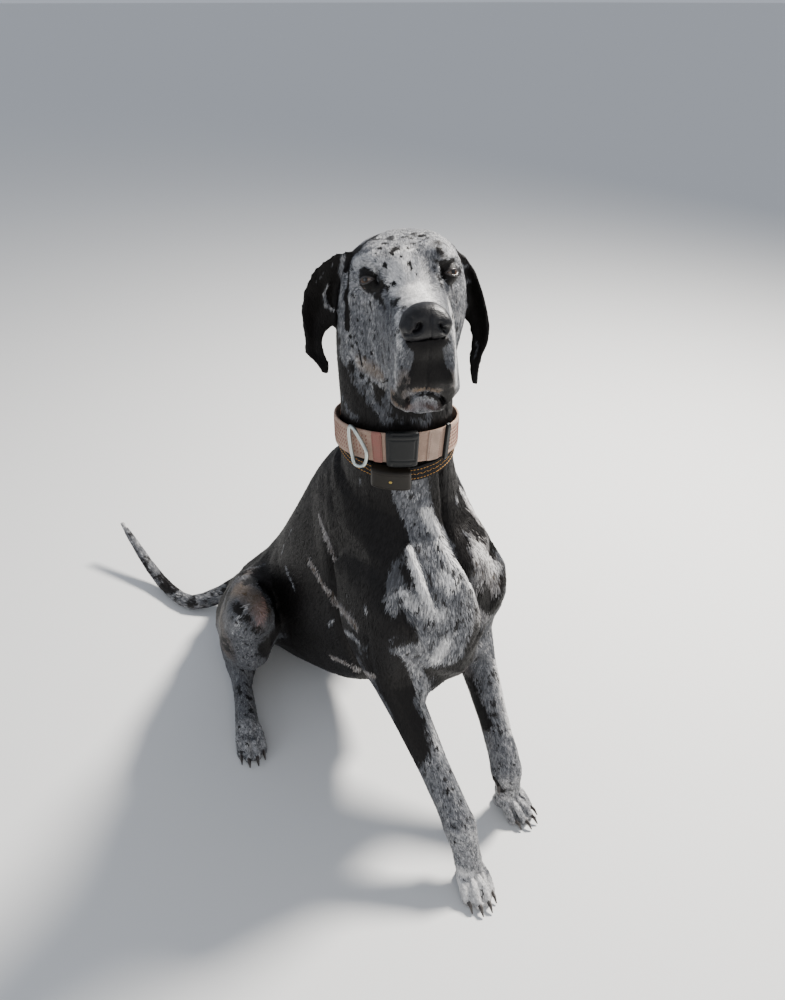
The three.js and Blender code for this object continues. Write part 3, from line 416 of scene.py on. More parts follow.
def work(strokes):
    for stroke in strokes.values():
        line = lineOf(stroke)
        if len(line) == 0:
            continue
        near, far = farFrom(line, clay.points, stroke["wide"] * 2.6)
        fade = np.exp(-((far / stroke["wide"]) ** 2))[:, None]
        if "pull" in stroke:
            clay.points[near] += fade * np.asarray(stroke["pull"], float)
        else:
            clay.points[near] += fade * clay.normals[near] * stroke["lift"]
    clay.save()


# Forms raised and folds pressed in; "trace" is in pixels of the photo, "lift" and "wide" in mm
forms = {
    "right flew hang": {"trace": ((393, 395), (399, 400), (405, 403)), "pull": (-2, 0, -11), "wide": 11},
    "left flew hang": {"trace": ((443, 402), (449, 398)), "pull": (1, 0, -7), "wide": 9},
    "right brow": {"trace": ((355, 263), (362, 259), (371, 260), (380, 268), (384, 276)), "lift": 2.6, "wide": 6},
    "left brow": {"trace": ((437, 268), (443, 261), (451, 257), (459, 261)), "lift": 2.6, "wide": 6},
    "ear cartilage": {"trace": ((329, 282), (324, 292), (326, 303), (333, 308), (338, 311)), "lift": 2.4, "wide": 2.4},
    "ear hollow": {"trace": ((334, 288), (333, 300)), "lift": -3.0, "wide": 5},
    "right neck muscle": {"trace": ((352, 420), (345, 440)), "lift": 1.0, "wide": 14},
    "brow furrow": {"trace": ((417, 236), (412, 262), (411, 284)), "lift": -1.6, "wide": 8},
    "right temple hollow": {"trace": ((347, 262), (345, 282)), "lift": -2.2, "wide": 9},
    "right cheekbone": {"trace": ((351, 296), (360, 302), (370, 304)), "lift": 2.2, "wide": 9},
    "left cheekbone": {"trace": ((449, 292), (457, 290)), "lift": 1.6, "wide": 7},
    "under the right eye": {"trace": ((378, 298), (383, 310), (384, 330)), "lift": -1.8, "wide": 6},
    "right cheek": {"trace": ((362, 330), (366, 352), (372, 372)), "lift": 2.4, "wide": 14},
    "bridge": {"trace": ((412, 276), (418, 296)), "lift": 1.4, "wide": 11},
    "right whisker bed": {"trace": ((398, 352), (398, 376), (401, 394)), "lift": 2.6, "wide": 9},
    "left whisker bed": {"trace": ((451, 348), (452, 370), (450, 390)), "lift": 2.0, "wide": 8},
    "mouth hollow": {"trace": ((412, 408), (421, 403), (430, 402), (438, 406)), "lift": -4.0, "wide": 8},
    "chin": {"trace": ((414, 406), (424, 402), (434, 405)), "lift": 1.5, "wide": 6},
    "right shoulder": {"trace": ((371, 560), (376, 600), (384, 640)), "lift": 3.0, "wide": 26},
    "left shoulder point": {"trace": ((482, 548), (487, 568), (484, 590)), "lift": 3.0, "wide": 20},
    "chest whorl": {"trace": ((448, 572), (452, 584)), "lift": 4.0, "wide": 13},
    "chest wedge": {"trace": ((408, 548), (418, 575), (429, 602), (434, 625)), "lift": 7.0, "wide": 11},
    "chest keel": {"trace": ((441, 620), (440, 648), (430, 664)), "lift": 2.5, "wide": 18},
    "left strap of skin": {"trace": ((425, 505), (436, 530), (444, 553), (458, 572)), "lift": 5.5, "wide": 9},
    "right wrist": {"trace": ((472, 812), (474, 820)), "lift": 2.6, "wide": 9},
    "left wrist": {"trace": ((513, 742), (516, 752)), "lift": 2.2, "wide": 9},
    "right knee": {"trace": ((252, 590), (262, 604), (264, 618)), "lift": 3.0, "wide": 14},
}
for side, sign in sides.items():
    x = sign
    forms |= {
        f"{side} shoulder blade": {"at": ((x * 60, -215, 640), (x * 92, -280, 560)), "lift": 2.4, "wide": 16},
        f"{side} hip": {"at": ((x * 55, 60, 330), (x * 62, 90, 300)), "lift": 2.2, "wide": 15},
        f"{side} thigh hollow": {"at": ((x * 150, 60, 260), (x * 130, 130, 180)), "lift": -1.8, "wide": 18},
    }
    for i in range(6):
        y = -215 + 36 * i
        forms[f"{side} rib {i}"] = {"at": ((x * 118, y, 450 - 14 * i), (x * 112, y - 36, 350 - 12 * i)), "lift": 0.9, "wide": 8}
folds = {
    "right flew fold": {"trace": ((384, 288), (387, 305), (387, 324), (388, 350), (388, 372), (386, 392)), "lift": -2.6, "wide": 3.2},
    "right inner fold": {"trace": ((394, 320), (390, 342), (388, 361)), "lift": -1.2, "wide": 2.4},
    "left flew fold": {"trace": ((446, 288), (455, 313), (458.5, 346), (461, 368)), "lift": -1.8, "wide": 2.6},
    "right mouth corner": {"trace": ((386, 392), (381, 398), (377, 402)), "lift": -2.4, "wide": 3.5},
    "bag under the right eye": {"trace": ((357, 288), (365, 294), (376, 293), (384, 286)), "lift": -1.5, "wide": 2.6},
    "second bag": {"trace": ((356, 295), (366, 302), (378, 302)), "lift": -0.9, "wide": 2.6},
    "bag under the left eye": {"trace": ((441, 280), (448, 285), (457, 284), (462, 277)), "lift": -1.2, "wide": 2.2},
    "right lid crease": {"trace": ((355, 272), (362, 267), (372, 267), (380, 273)), "lift": -1.2, "wide": 1.8},
    "left lid crease": {"trace": ((441, 268), (448, 263), (457, 263), (462, 267)), "lift": -1.2, "wide": 1.8},
    "lip opening": {"trace": ((400, 412), (404, 405), (411, 399), (419, 395.5), (427, 394.5), (435, 396), (442, 400), (447, 408)), "lift": -10.0, "wide": 2.8},
    "philtrum": {"trace": ((430, 346), (429, 366), (427, 388)), "lift": -1.5, "wide": 1.7},
    "right cheek line": {"trace": ((352, 300), (349, 325), (351, 350), (356, 375)), "lift": -1.4, "wide": 3.5},
    "throat fold": {"trace": ((356, 382), (368, 398), (380, 408)), "lift": -2.0, "wide": 4},
    "chest crease": {"trace": ((410, 545), (416, 560), (423, 577), (430, 594), (435, 606)), "lift": -9.0, "wide": 5},
    "left neck crease": {"trace": ((442, 470), (444, 495), (446, 520), (453, 545), (464, 565), (475, 583), (483, 612)), "lift": -9.0, "wide": 5.5},
    "left arm crease": {"trace": ((484, 615), (481, 632), (474, 644)), "lift": -4.0, "wide": 5},
    "right arm crease": {"trace": ((377, 688), (371, 665), (366, 640)), "lift": -4.0, "wide": 7},
    "shoulder wrinkle one": {"trace": ((469, 556), (478, 551), (490, 552)), "lift": -1.6, "wide": 2.6},
    "shoulder wrinkle two": {"trace": ((471, 566), (481, 561), (494, 563)), "lift": -1.6, "wide": 2.6},
    "shoulder wrinkle three": {"trace": ((475, 577), (484, 573), (495, 575)), "lift": -1.3, "wide": 2.6},
    "right wrist wrinkle": {"trace": ((448, 826), (458, 823), (470, 824)), "lift": -1.0, "wide": 2.4},
    "left wrist wrinkle one": {"trace": ((498, 739), (506, 736), (517, 736)), "lift": -1.2, "wide": 2.2},
    "left wrist wrinkle two": {"trace": ((499, 746), (507, 743), (518, 744)), "lift": -1.2, "wide": 2.2},
    "left wrist wrinkle three": {"trace": ((500, 754), (508, 752), (519, 753)), "lift": -1.0, "wide": 2.2},
    "thigh crease": {"trace": ((262, 585), (268, 600), (271, 620), (272, 645)), "lift": -3.5, "wide": 6},
    "spine": {"at": ((8, -230, 700), (6, -120, 600), (4, -20, 470), (2, 90, 340), (2, 200, 230), (-2, 280, 120)), "lift": -1.8, "wide": 9},
    "elbow fold right": {"trace": ((402, 690), (409, 700)), "lift": -1.5, "wide": 4},
}
toes = {"arch": 3.2, "groove": -5.4, "back": 34}
for name in [n for n in flesh if "paw" in n]:
    limb = "fore" if name.startswith("fore") else "hind"
    side = name.split("_")[-1]
    roots = [np.array(middleOf(f"{limb}_{side}_claw_{toe}")) / mm for toe in ("outer", "third", "second", "inner")]
    middle = sum(roots) / 4
    heel = np.array(middleOf(name)) / mm
    back = unit((heel - middle) * (1, 1, 0))
    up = np.array((0, 0, 1))
    for i, (a, b) in enumerate(zip(roots, roots[1:])):
        start = (a + b) / 2
        inward = unit((middle - start) * (1, 1, 0)) * min(6, np.linalg.norm(middle - start))
        far = start + back * toes["back"] + up * 20 + inward * 0.5
        folds[f"{name} groove {i}"] = {
            "over": (start + back * 3, start + back * 18, far), "lift": toes["groove"], "wide": 2.6,
        }
    for i, a in enumerate(roots):
        forms[f"{name} toe {i}"] = {
            "over": (a + back * 8, a + back * 22), "lift": toes["arch"], "wide": 6.5,
        }
work(forms)
work(folds)
print("skin worked")


# Lids: outside the almond the skin is drawn over the eyeball, inside it goes behind
def almond(x):
    # the upper and lower edge of the opening at x, in mm from the middle
    t = np.clip(1 - (x / eye["halfWide"]) ** 2, 0, 1)
    droop = 1 + 0.22 * np.clip(x / eye["halfWide"], -1, 1)
    return eye["upper"] * t**0.85 - eye["slant"] * x, -eye["lower"] * t**0.75 * droop - eye["slant"] * x


def openLids():
    for e in eyes.values():
        near = np.flatnonzero(np.linalg.norm(clay.points - e["middle"], axis=1) < 32)
        local = (clay.points[near] - e["middle"]) @ e["axes"].T
        front = local[:, 2] > -6
        near = near[front]
        local = local[front]
        x, y, z = local.T
        high, low = almond(x)
        over = np.maximum(y - high, low - y)
        over = np.maximum(over, np.abs(x) - eye["halfWide"])       # more than 0 outside the opening
        round2 = np.clip(x**2 + y**2, 0, (eye["radius"] + eye["lid"]) ** 2 - 1)
        lid = np.sqrt((eye["radius"] + eye["lid"]) ** 2 - round2)
        ball = np.sqrt(np.clip(eye["radius"] ** 2 - np.clip(x**2 + y**2, 0, eye["radius"] ** 2 - 1), 1, None))
        drawn = np.exp(-((np.clip(over - 1.5, 0, None) / 5.5) ** 2))
        z = np.where(over > 0, z * (1 - drawn) + lid * drawn, ball - 1.2 - np.clip(-over, 0, 1.5))
        clay.points[near] = np.stack([x, y, z], 1) @ e["axes"] + e["middle"]
    clay.save()


openLids()

clay.points -= clay.normals * skinSizes["coat"]
clay.points[:, 2] = np.maximum(clay.points[:, 2], 0.3)
clay.save()
print("lids opened")

# Fewer triangles on the body, all of them kept on the face and feet
keep = clay.shareOf("skull", "muzzle", "jaw", spread=4) + 0.6 * clay.shareOf("ear_right", "ear_left", spread=2)
keep += 0.5 * clay.shareOf(*[n for n in flesh if "paw" in n], spread=3)
group = skin.vertex_groups.new(name="body")
levels = np.round((1 - np.clip(keep, 0, 1)) * 10).astype(int)
for level in range(1, 11):
    group.add([int(i) for i in np.flatnonzero(levels == level)], level / 10, "REPLACE")
thin = skin.modifiers.new("fewer triangles", "DECIMATE")
thin.vertex_group = "body"
thin.vertex_group_factor = 0.9
skin.data.calc_loop_triangles()
thin.ratio = min(1.0, skinSizes["triangles"] / len(skin.data.loop_triangles))
bake(skin)
skin.vertex_groups.clear()
skin.data.calc_loop_triangles()
print("skin has", len(skin.data.loop_triangles), "triangles")


# Materials
def newMaterial(name, roughness, specular=0.5):
    material = bpy.data.materials.new(name)
    material.use_nodes = True
    shader = material.node_tree.nodes["Principled BSDF"]
    shader.inputs["Roughness"].default_value = roughness
    shader.inputs["Specular IOR Level"].default_value = specular
    return material, Wires(material.node_tree)


class Wires:
    # short names for the nodes of one material
    def __init__(self, tree):
        self.tree = tree
        self.shader = tree.nodes["Principled BSDF"]

    def add(self, kind, **settings):
        node = self.tree.nodes.new(kind)
        for key, value in settings.items():
            setattr(node, key, value)
        return node

    def plug(self, value, socket):
        if hasattr(value, "is_output"):
            self.tree.links.new(value, socket)
        else:
            socket.default_value = value

    def read(self, name, output="Fac"):
        return self.add("ShaderNodeAttribute", attribute_name=name).outputs[output]

    def place(self):
        return self.add("ShaderNodeTexCoord").outputs["Object"]

    def math(self, operation, a, b=0.0, c=0.0, clamp=False):
        node = self.add("ShaderNodeMath", operation=operation, use_clamp=clamp)
        for socket, value in zip(node.inputs, (a, b, c)):
            self.plug(value, socket)
        return node.outputs[0]

    def noise(self, where, scale, detail=3.0, rough=0.6):
        node = self.add("ShaderNodeTexNoise")
        self.plug(where, node.inputs["Vector"])
        node.inputs["Scale"].default_value = scale
        node.inputs["Detail"].default_value = detail
        node.inputs["Roughness"].default_value = rough
        return node.outputs["Fac"]

    def step(self, value, low, high):
        node = self.add("ShaderNodeMapRange", interpolation_type="SMOOTHSTEP")
        self.plug(value, node.inputs["Value"])
        self.plug(low, node.inputs["From Min"])
        self.plug(high, node.inputs["From Max"])
        return node.outputs["Result"]

    def mix(self, share, a, b, blend="MIX"):
        node = self.add("ShaderNodeMix", data_type="RGBA", blend_type=blend)
        self.plug(share, node.inputs[0])
        self.plug(a, node.inputs[6])
        self.plug(b, node.inputs[7])
        return node.outputs[2]

    def bump(self, height, depth, strength=1.0):
        node = self.add("ShaderNodeBump")
        node.inputs["Strength"].default_value = strength
        node.inputs["Distance"].default_value = depth * mm
        self.plug(height, node.inputs["Height"])
        self.tree.links.new(node.outputs["Normal"], self.shader.inputs["Normal"])

    def colour(self, value):
        self.plug(value, self.shader.inputs["Base Color"])


# Coat: black patches and pale streaks painted on the body, specks and ragged edges in the material
coatLook = {
    "black": (0.0062, 0.0053, 0.0050, 1), "grey": (0.180, 0.184, 0.195, 1), "smoke": (0.052, 0.054, 0.060, 1),
    # the tan is partly the coat's own tint and partly painted light: sunlit brown on the knee, a reflection on the lip
    "pale": (0.60, 0.59, 0.58, 1), "tan": (0.20, 0.125, 0.06, 1), "pink": (0.40, 0.22, 0.19, 1),
    "ragged": 85, "patches": 13, "specks": 62, "grain": 330,
}


def coatMaterial(name, roughness, fur):
    material, w = newMaterial(name, roughness, 0.17)
    marks = w.add("ShaderNodeAttribute", attribute_name="marks")
    parts = w.add("ShaderNodeSeparateColor")
    w.plug(marks.outputs["Color"], parts.inputs[0])
    dark, pale, tan_and_painted_light = parts.outputs
    pink = marks.outputs["Alpha"]
    speck = w.read("speck")
    rest = w.read("rest", "Vector")
    ragged = w.math("SUBTRACT", w.noise(rest, coatLook["ragged"], 4, 0.65), 0.5)
    patches = w.math("SUBTRACT", w.noise(rest, coatLook["patches"], 2, 0.5), 0.5)
    grain = w.math("SUBTRACT", w.noise(rest, coatLook["grain"], 2, 0.7), 0.5)
    between = w.math("MULTIPLY", w.math("MULTIPLY", dark, w.math("SUBTRACT", 1.0, dark)), 11.0)
    field = w.math("MULTIPLY_ADD", patches, between, dark)
    field = w.math("MULTIPLY_ADD", ragged, 0.9, field)
    field = w.math("MULTIPLY_ADD", grain, 0.35, field)
    black = w.step(field, 0.42, 0.56)
    light = w.math("MULTIPLY_ADD", ragged, 0.9, pale)
    light = w.step(w.math("MULTIPLY_ADD", grain, 0.8, light), 0.12, 0.88)
    spots = w.noise(rest, coatLook["specks"], 2.5, 0.55)
    spots = w.step(w.math("MULTIPLY_ADD", speck, 0.16, spots), 0.685, 0.73)
    cloud = w.step(w.math("ADD", w.noise(rest, 150, 3, 0.7), grain), 0.3, 0.75)
    near = w.math("SUBTRACT", 1.0, w.math("MULTIPLY", w.step(dark, 0.08, 0.5), 0.8))      # greyer near the black
    cloud = w.math("MULTIPLY", cloud, near)
    colour = w.mix(cloud, coatLook["smoke"], coatLook["grey"])
    colour = w.mix(light, colour, coatLook["pale"])
    colour = w.mix(w.math("MULTIPLY", spots, 0.9), colour, coatLook["black"])
    # tan tint, partly the coat's own and partly painted sunlight and painted reflection
    colour = w.mix(w.math("MULTIPLY", tan_and_painted_light, 0.85), colour, coatLook["tan"])
    colour = w.mix(black, colour, coatLook["black"])
    colour = w.mix(pink, colour, coatLook["pink"])
    if fur:
        shade = w.step(w.read("shade"), -0.6, 1.25)
        colour = w.mix(1.0, colour, w.mix(shade, (0.62, 0.62, 0.62, 1), (1.5, 1.5, 1.5, 1)), "MULTIPLY")
    w.colour(colour)
    w.bump(w.noise(rest, 1300 if fur else 900, 2, 0.7), 0.25 if fur else 0.35, 0.5)
    return material


coat = Surface(skin.data)
coat.save()
base = {
    # node: (dark, pale, speck) before the marks are painted
    # the muzzle's pale is kept low, partly as painted shade for the side of the face that lies in shade
    "skull": (0, 0.28, 0.4), "muzzle": (0, 0.17, 0.4), "jaw": (0.1, 0.2, 0.3), "ear_right": (1, 0, 0), "ear_left": (1, 0, 0),
    "neck_upper": (0.95, 0, 0.3), "neck_lower": (1, 0, 0.3), "chest": (1, 0.05, 0.5), "loin": (1, 0, 0.5), "rump": (0.8, 0, 0.5),
    "tail": (0.34, 0.25, 0.7), "upper_arm_right": (0.95, 0.1, 0.6), "upper_arm_left": (0.40, 0.3, 0.6),
    # the shins and hind feet are darker and less pale, partly their merle and partly painted shade on the shaded hind
    # leg
    "forearm": (0.12, 0.16, 0.3), "forepaw": (0.06, 0.34, 0.3), "thigh": (0.5, 0.1, 0.5), "shin": (0.24, 0.06, 0.6),
    "hind_foot": (0.12, 0.1, 0.5), "hind_paw": (0.05, 0.32, 0.4),
}
start = np.array([next(base[k] for k in (n, n.rsplit("_", 1)[0], n.split("_")[0]) if k in base) for n in flesh], float)
layers = start[coat.owner]
for _ in range(5):
    layers = averageAround(layers, coat.edges, coat.count)
# the far side is merle: half grey, half black
farSide = np.clip((coat.points[:, 0] - 25) / 40, 0, 1) * coat.shareOf("chest", "loin", "rump", "neck_lower", spread=6)
layers += farSide[:, None] * ((0.5, 0.18, 0.6) - layers)


def brush(strokes, points, paint):
    for stroke in strokes.values():
        line = stroke["line"]
        if len(line) == 0:
            continue
        edge = stroke.get("edge", 4)
        near, far = farFrom(line, points, stroke["reach"] + edge)
        cover = np.clip((stroke["reach"] - far) / edge + 0.5, 0, 1)
        for channel in paint:
            if channel in stroke:
                paint[channel][near] += cover * (stroke[channel] - paint[channel][near])


# "trace" is in pixels of the photo, "reach" and "edge" in mm
faceMarks = {
    "blaze": {"trace": ((405, 262), (412, 280), (418, 298)), "reach": 20, "edge": 18, "pale": 0.72, "speck": 0.1},
    "inner brow right": {"trace": ((392, 272), (397, 290)), "reach": 9, "edge": 10, "pale": 0.7},
    "brow right": {"trace": ((357, 262), (368, 258), (380, 262)), "reach": 9, "edge": 10, "pale": 0.55},
    "forehead": {"trace": ((385, 240), (420, 232), (446, 244)), "reach": 14, "edge": 18, "pale": 0.3, "speck": 0.9},
    "left of the nose": {"trace": ((449, 300), (453, 322), (456, 348), (457, 384)), "reach": 4, "edge": 14, "pale": 0.9, "speck": 0},
    "right of the nose": {"trace": ((398, 312), (398, 328), (399, 344)), "reach": 5, "edge": 8, "pale": 0.6},
    "right flew": {"trace": ((396, 356), (396, 380), (398, 394)), "reach": 8, "edge": 8, "pale": 0.42},
    # painted shade: the right cheek keeps little pale, so that side of the face reads darker
    "right cheek": {"trace": ((358, 310), (362, 335), (366, 352)), "reach": 12, "edge": 12, "pale": 0.08},
    "light by the ear": {"trace": ((343, 256), (341, 270), (342, 286)), "reach": 5, "edge": 8, "dark": 0, "pale": 0.3},
    "temple stripe": {"trace": ((377, 235), (366, 242), (357, 249), (351.5, 258), (348, 271), (348, 290)), "reach": 4.2, "edge": 3, "dark": 1},
    "stripe below": {"trace": ((346, 292), (347, 308), (347, 326)), "reach": 5, "edge": 4, "dark": 1},
    "cheek back": {"trace": ((338, 352), (341, 376), (347, 395), (356, 407), (366, 418)), "reach": 5.5, "edge": 7, "dark": 1},
    "throat merle": {"trace": ((353, 372), (361, 386), (371, 396), (384, 406)), "reach": 10, "edge": 12, "dark": 0.26, "pale": 0.12},
    "neck merle": {"trace": ((343, 398), (348, 408), (356, 416)), "reach": 4, "edge": 8, "dark": 0.3, "pale": 0.1},
    "cheek streak": {"trace": ((350, 360), (356, 380), (366, 396)), "reach": 1.5, "edge": 5, "dark": 0.7},
    "jaw dark": {"trace": ((372, 394), (379, 400), (386, 408)), "reach": 4, "edge": 9, "dark": 0.8},
    "streak one": {"trace": ((371, 300), (373, 318)), "reach": 1.2, "edge": 4, "dark": 0.75},
    "streak two": {"trace": ((378, 330), (379, 346)), "reach": 1.4, "edge": 4, "dark": 0.75},
    "streak three": {"trace": ((366, 325), (367, 341)), "reach": 1.2, "edge": 4, "dark": 0.7},
    "streak four": {"trace": ((392, 300), (391, 318)), "reach": 1.2, "edge": 4, "dark": 0.7},
    "streak five": {"trace": ((359, 346), (362, 364)), "reach": 1.4, "edge": 4, "dark": 0.75},
    "streak six": {"trace": ((379, 352), (380, 372)), "reach": 1.2, "edge": 4, "dark": 0.7},
    "right eye mask": {"trace": ((361, 277), (367, 281), (376, 281), (380, 285), (374, 288)), "reach": 6.5, "edge": 15, "dark": 0.9},
    "below the right eye": {"trace": ((370, 292), (379, 297), (384, 308)), "reach": 4.5, "edge": 15, "dark": 0.6},
    "left eye mask": {"trace": ((444, 272), (452, 270), (460, 271), (455, 279)), "reach": 6, "edge": 10, "dark": 0.92},
    "left brow": {"trace": ((430, 258), (437, 262), (443, 265)), "reach": 4.5, "edge": 12, "dark": 0.66},
    "left brow top": {"trace": ((437, 247), (441, 252)), "reach": 3, "edge": 4, "dark": 0.85},
    "left cheek": {"trace": ((451, 288), (456, 298), (458, 312)), "reach": 4, "edge": 6, "dark": 0.65},
    "muzzle front": {"trace": ((420, 352), (418, 366), (411, 382)), "reach": 12, "edge": 15, "dark": 0.95},
    "muzzle front left": {"trace": ((436, 350), (440, 366), (444, 382)), "reach": 11, "edge": 13, "dark": 0.95},
    "muzzle front middle": {"trace": ((428, 350), (428, 372), (428, 382)), "reach": 12, "edge": 8, "dark": 1},
    "flew dark": {"trace": ((406, 378), (401, 390), (400, 400)), "reach": 9, "edge": 14, "dark": 0.72, "tan_and_painted_light": 0.3},
    "left flew dark": {"trace": ((446, 378), (450, 392), (449, 402)), "reach": 9, "edge": 12, "dark": 0.74, "tan_and_painted_light": 0.3},
    "under the nose": {"trace": ((410, 341), (428, 344), (446, 339)), "reach": 7, "edge": 6, "dark": 1},
    "flew fold shade": {"trace": ((384, 288), (387, 305), (387, 324), (388, 350), (388, 372), (386, 392)), "reach": 1.3, "edge": 4, "dark": 0.8},
    "inner fold shade": {"trace": ((394, 320), (390, 342), (388, 361)), "reach": 0.9, "edge": 3, "dark": 0.7},
    "left fold shade": {"trace": ((446, 288), (455, 313), (458.5, 346), (461, 368)), "reach": 0.9, "edge": 3, "dark": 0.7},
    "mouth corner": {"trace": ((375, 384), (379, 396), (380, 402)), "reach": 5, "edge": 6, "dark": 0.9},
    "cheek tan": {"trace": ((362, 362), (372, 367), (381, 374)), "reach": 9, "edge": 14, "tan_and_painted_light": 0.45},
    "right flew edge": {"trace": ((392, 393), (399, 399), (405, 402)), "reach": 7, "edge": 8, "tan_and_painted_light": 0.55, "dark": 0.6, "pale": 0},
    "left flew edge": {"trace": ((444, 402), (451, 405), (455, 396)), "reach": 6, "edge": 5, "dark": 0.8, "tan_and_painted_light": 0.5},
    # painted reflection: the tan band along the lip
    "lip": {"trace": ((415, 390), (427, 388), (439, 391)), "reach": 3, "edge": 5, "dark": 0.3, "tan_and_painted_light": 0.7, "pale": 0.0},
    # painted shade: the mouth opening along the lips is painted black
    "shade in the mouth opening": {"trace": ((402, 408), (411, 398), (427, 394), (441, 400), (446, 406)), "reach": 4.6, "edge": 3, "dark": 1},
    # painted shade under the mouth: the chin is made darker grey, with a touch of its own pink
    "chin": {"trace": ((411, 408), (424, 405), (435, 408)), "reach": 5, "edge": 9, "dark": 0.34, "pink": 0.1, "pale": 0.0},
    "throat": {"trace": ((386, 414), (405, 418), (424, 418)), "reach": 10, "edge": 16, "dark": 0.42, "pale": 0.05},
    "ear ring": {"trace": ((328, 283), (324, 292), (326, 303), (333, 308), (338, 311)), "reach": 2.2, "edge": 2, "dark": 0.1, "pale": 0.25},
    "ear ring inside": {"trace": ((339, 288), (335, 297), (337, 304)), "reach": 2, "edge": 2, "dark": 0.25, "pale": 0.2},
    "ear rim": {"trace": ((337, 259), (326, 270), (316, 281)), "reach": 1.6, "edge": 2, "dark": 0.15, "pale": 0.3},
    # painted sheen: the black left ear is lightened along this strip
    "sheen on the left ear": {"trace": ((474, 334), (479, 345), (476, 354)), "reach": 2, "edge": 4, "dark": 0.5},
}
spots = {
    # pixel of the photo: size in mm
    (384, 243.5): 3.2, (379.6, 248.6): 2.4, (396.5, 249): 4.6, (392, 253): 3, (408, 248): 3, (413, 243): 4, (410, 238): 3,
    (422, 235.5): 4.5, (427, 238): 3, (439.5, 251.5): 3.2, (410, 264): 3, (411.5, 269): 2.6, (385.5, 266.5): 3, (387, 288): 3,
    (394, 284): 2.2, (397, 300): 4, (395.5, 304): 2.6, (417, 258): 2, (401, 257): 1.8, (376, 254): 1.6, (434, 243): 2,
    (370, 318): 2.2, (377, 333): 2.4, (366, 342): 2, (372, 351): 2.6, (391, 336): 2, (363, 330): 2, (358, 318): 2, (402, 366): 2.2,
    (362, 374): 3, (370, 379): 2.4, (384, 381): 2, (405, 379): 2, (399, 387): 2.4, (357, 341): 2.6, (350, 335): 3, (352, 345): 2.6,
    (446, 313): 1.6, (451, 335): 1.8, (457, 300): 2, (461, 318): 2.4, (462, 330): 2, (457, 366): 1.8, (453, 352): 1.6,
}
faceMarks |= {f"spot {i}": {"trace": (at,), "reach": size * 1.3, "edge": 4.5, "dark": 0.95} for i, (at, size) in enumerate(spots.items())}
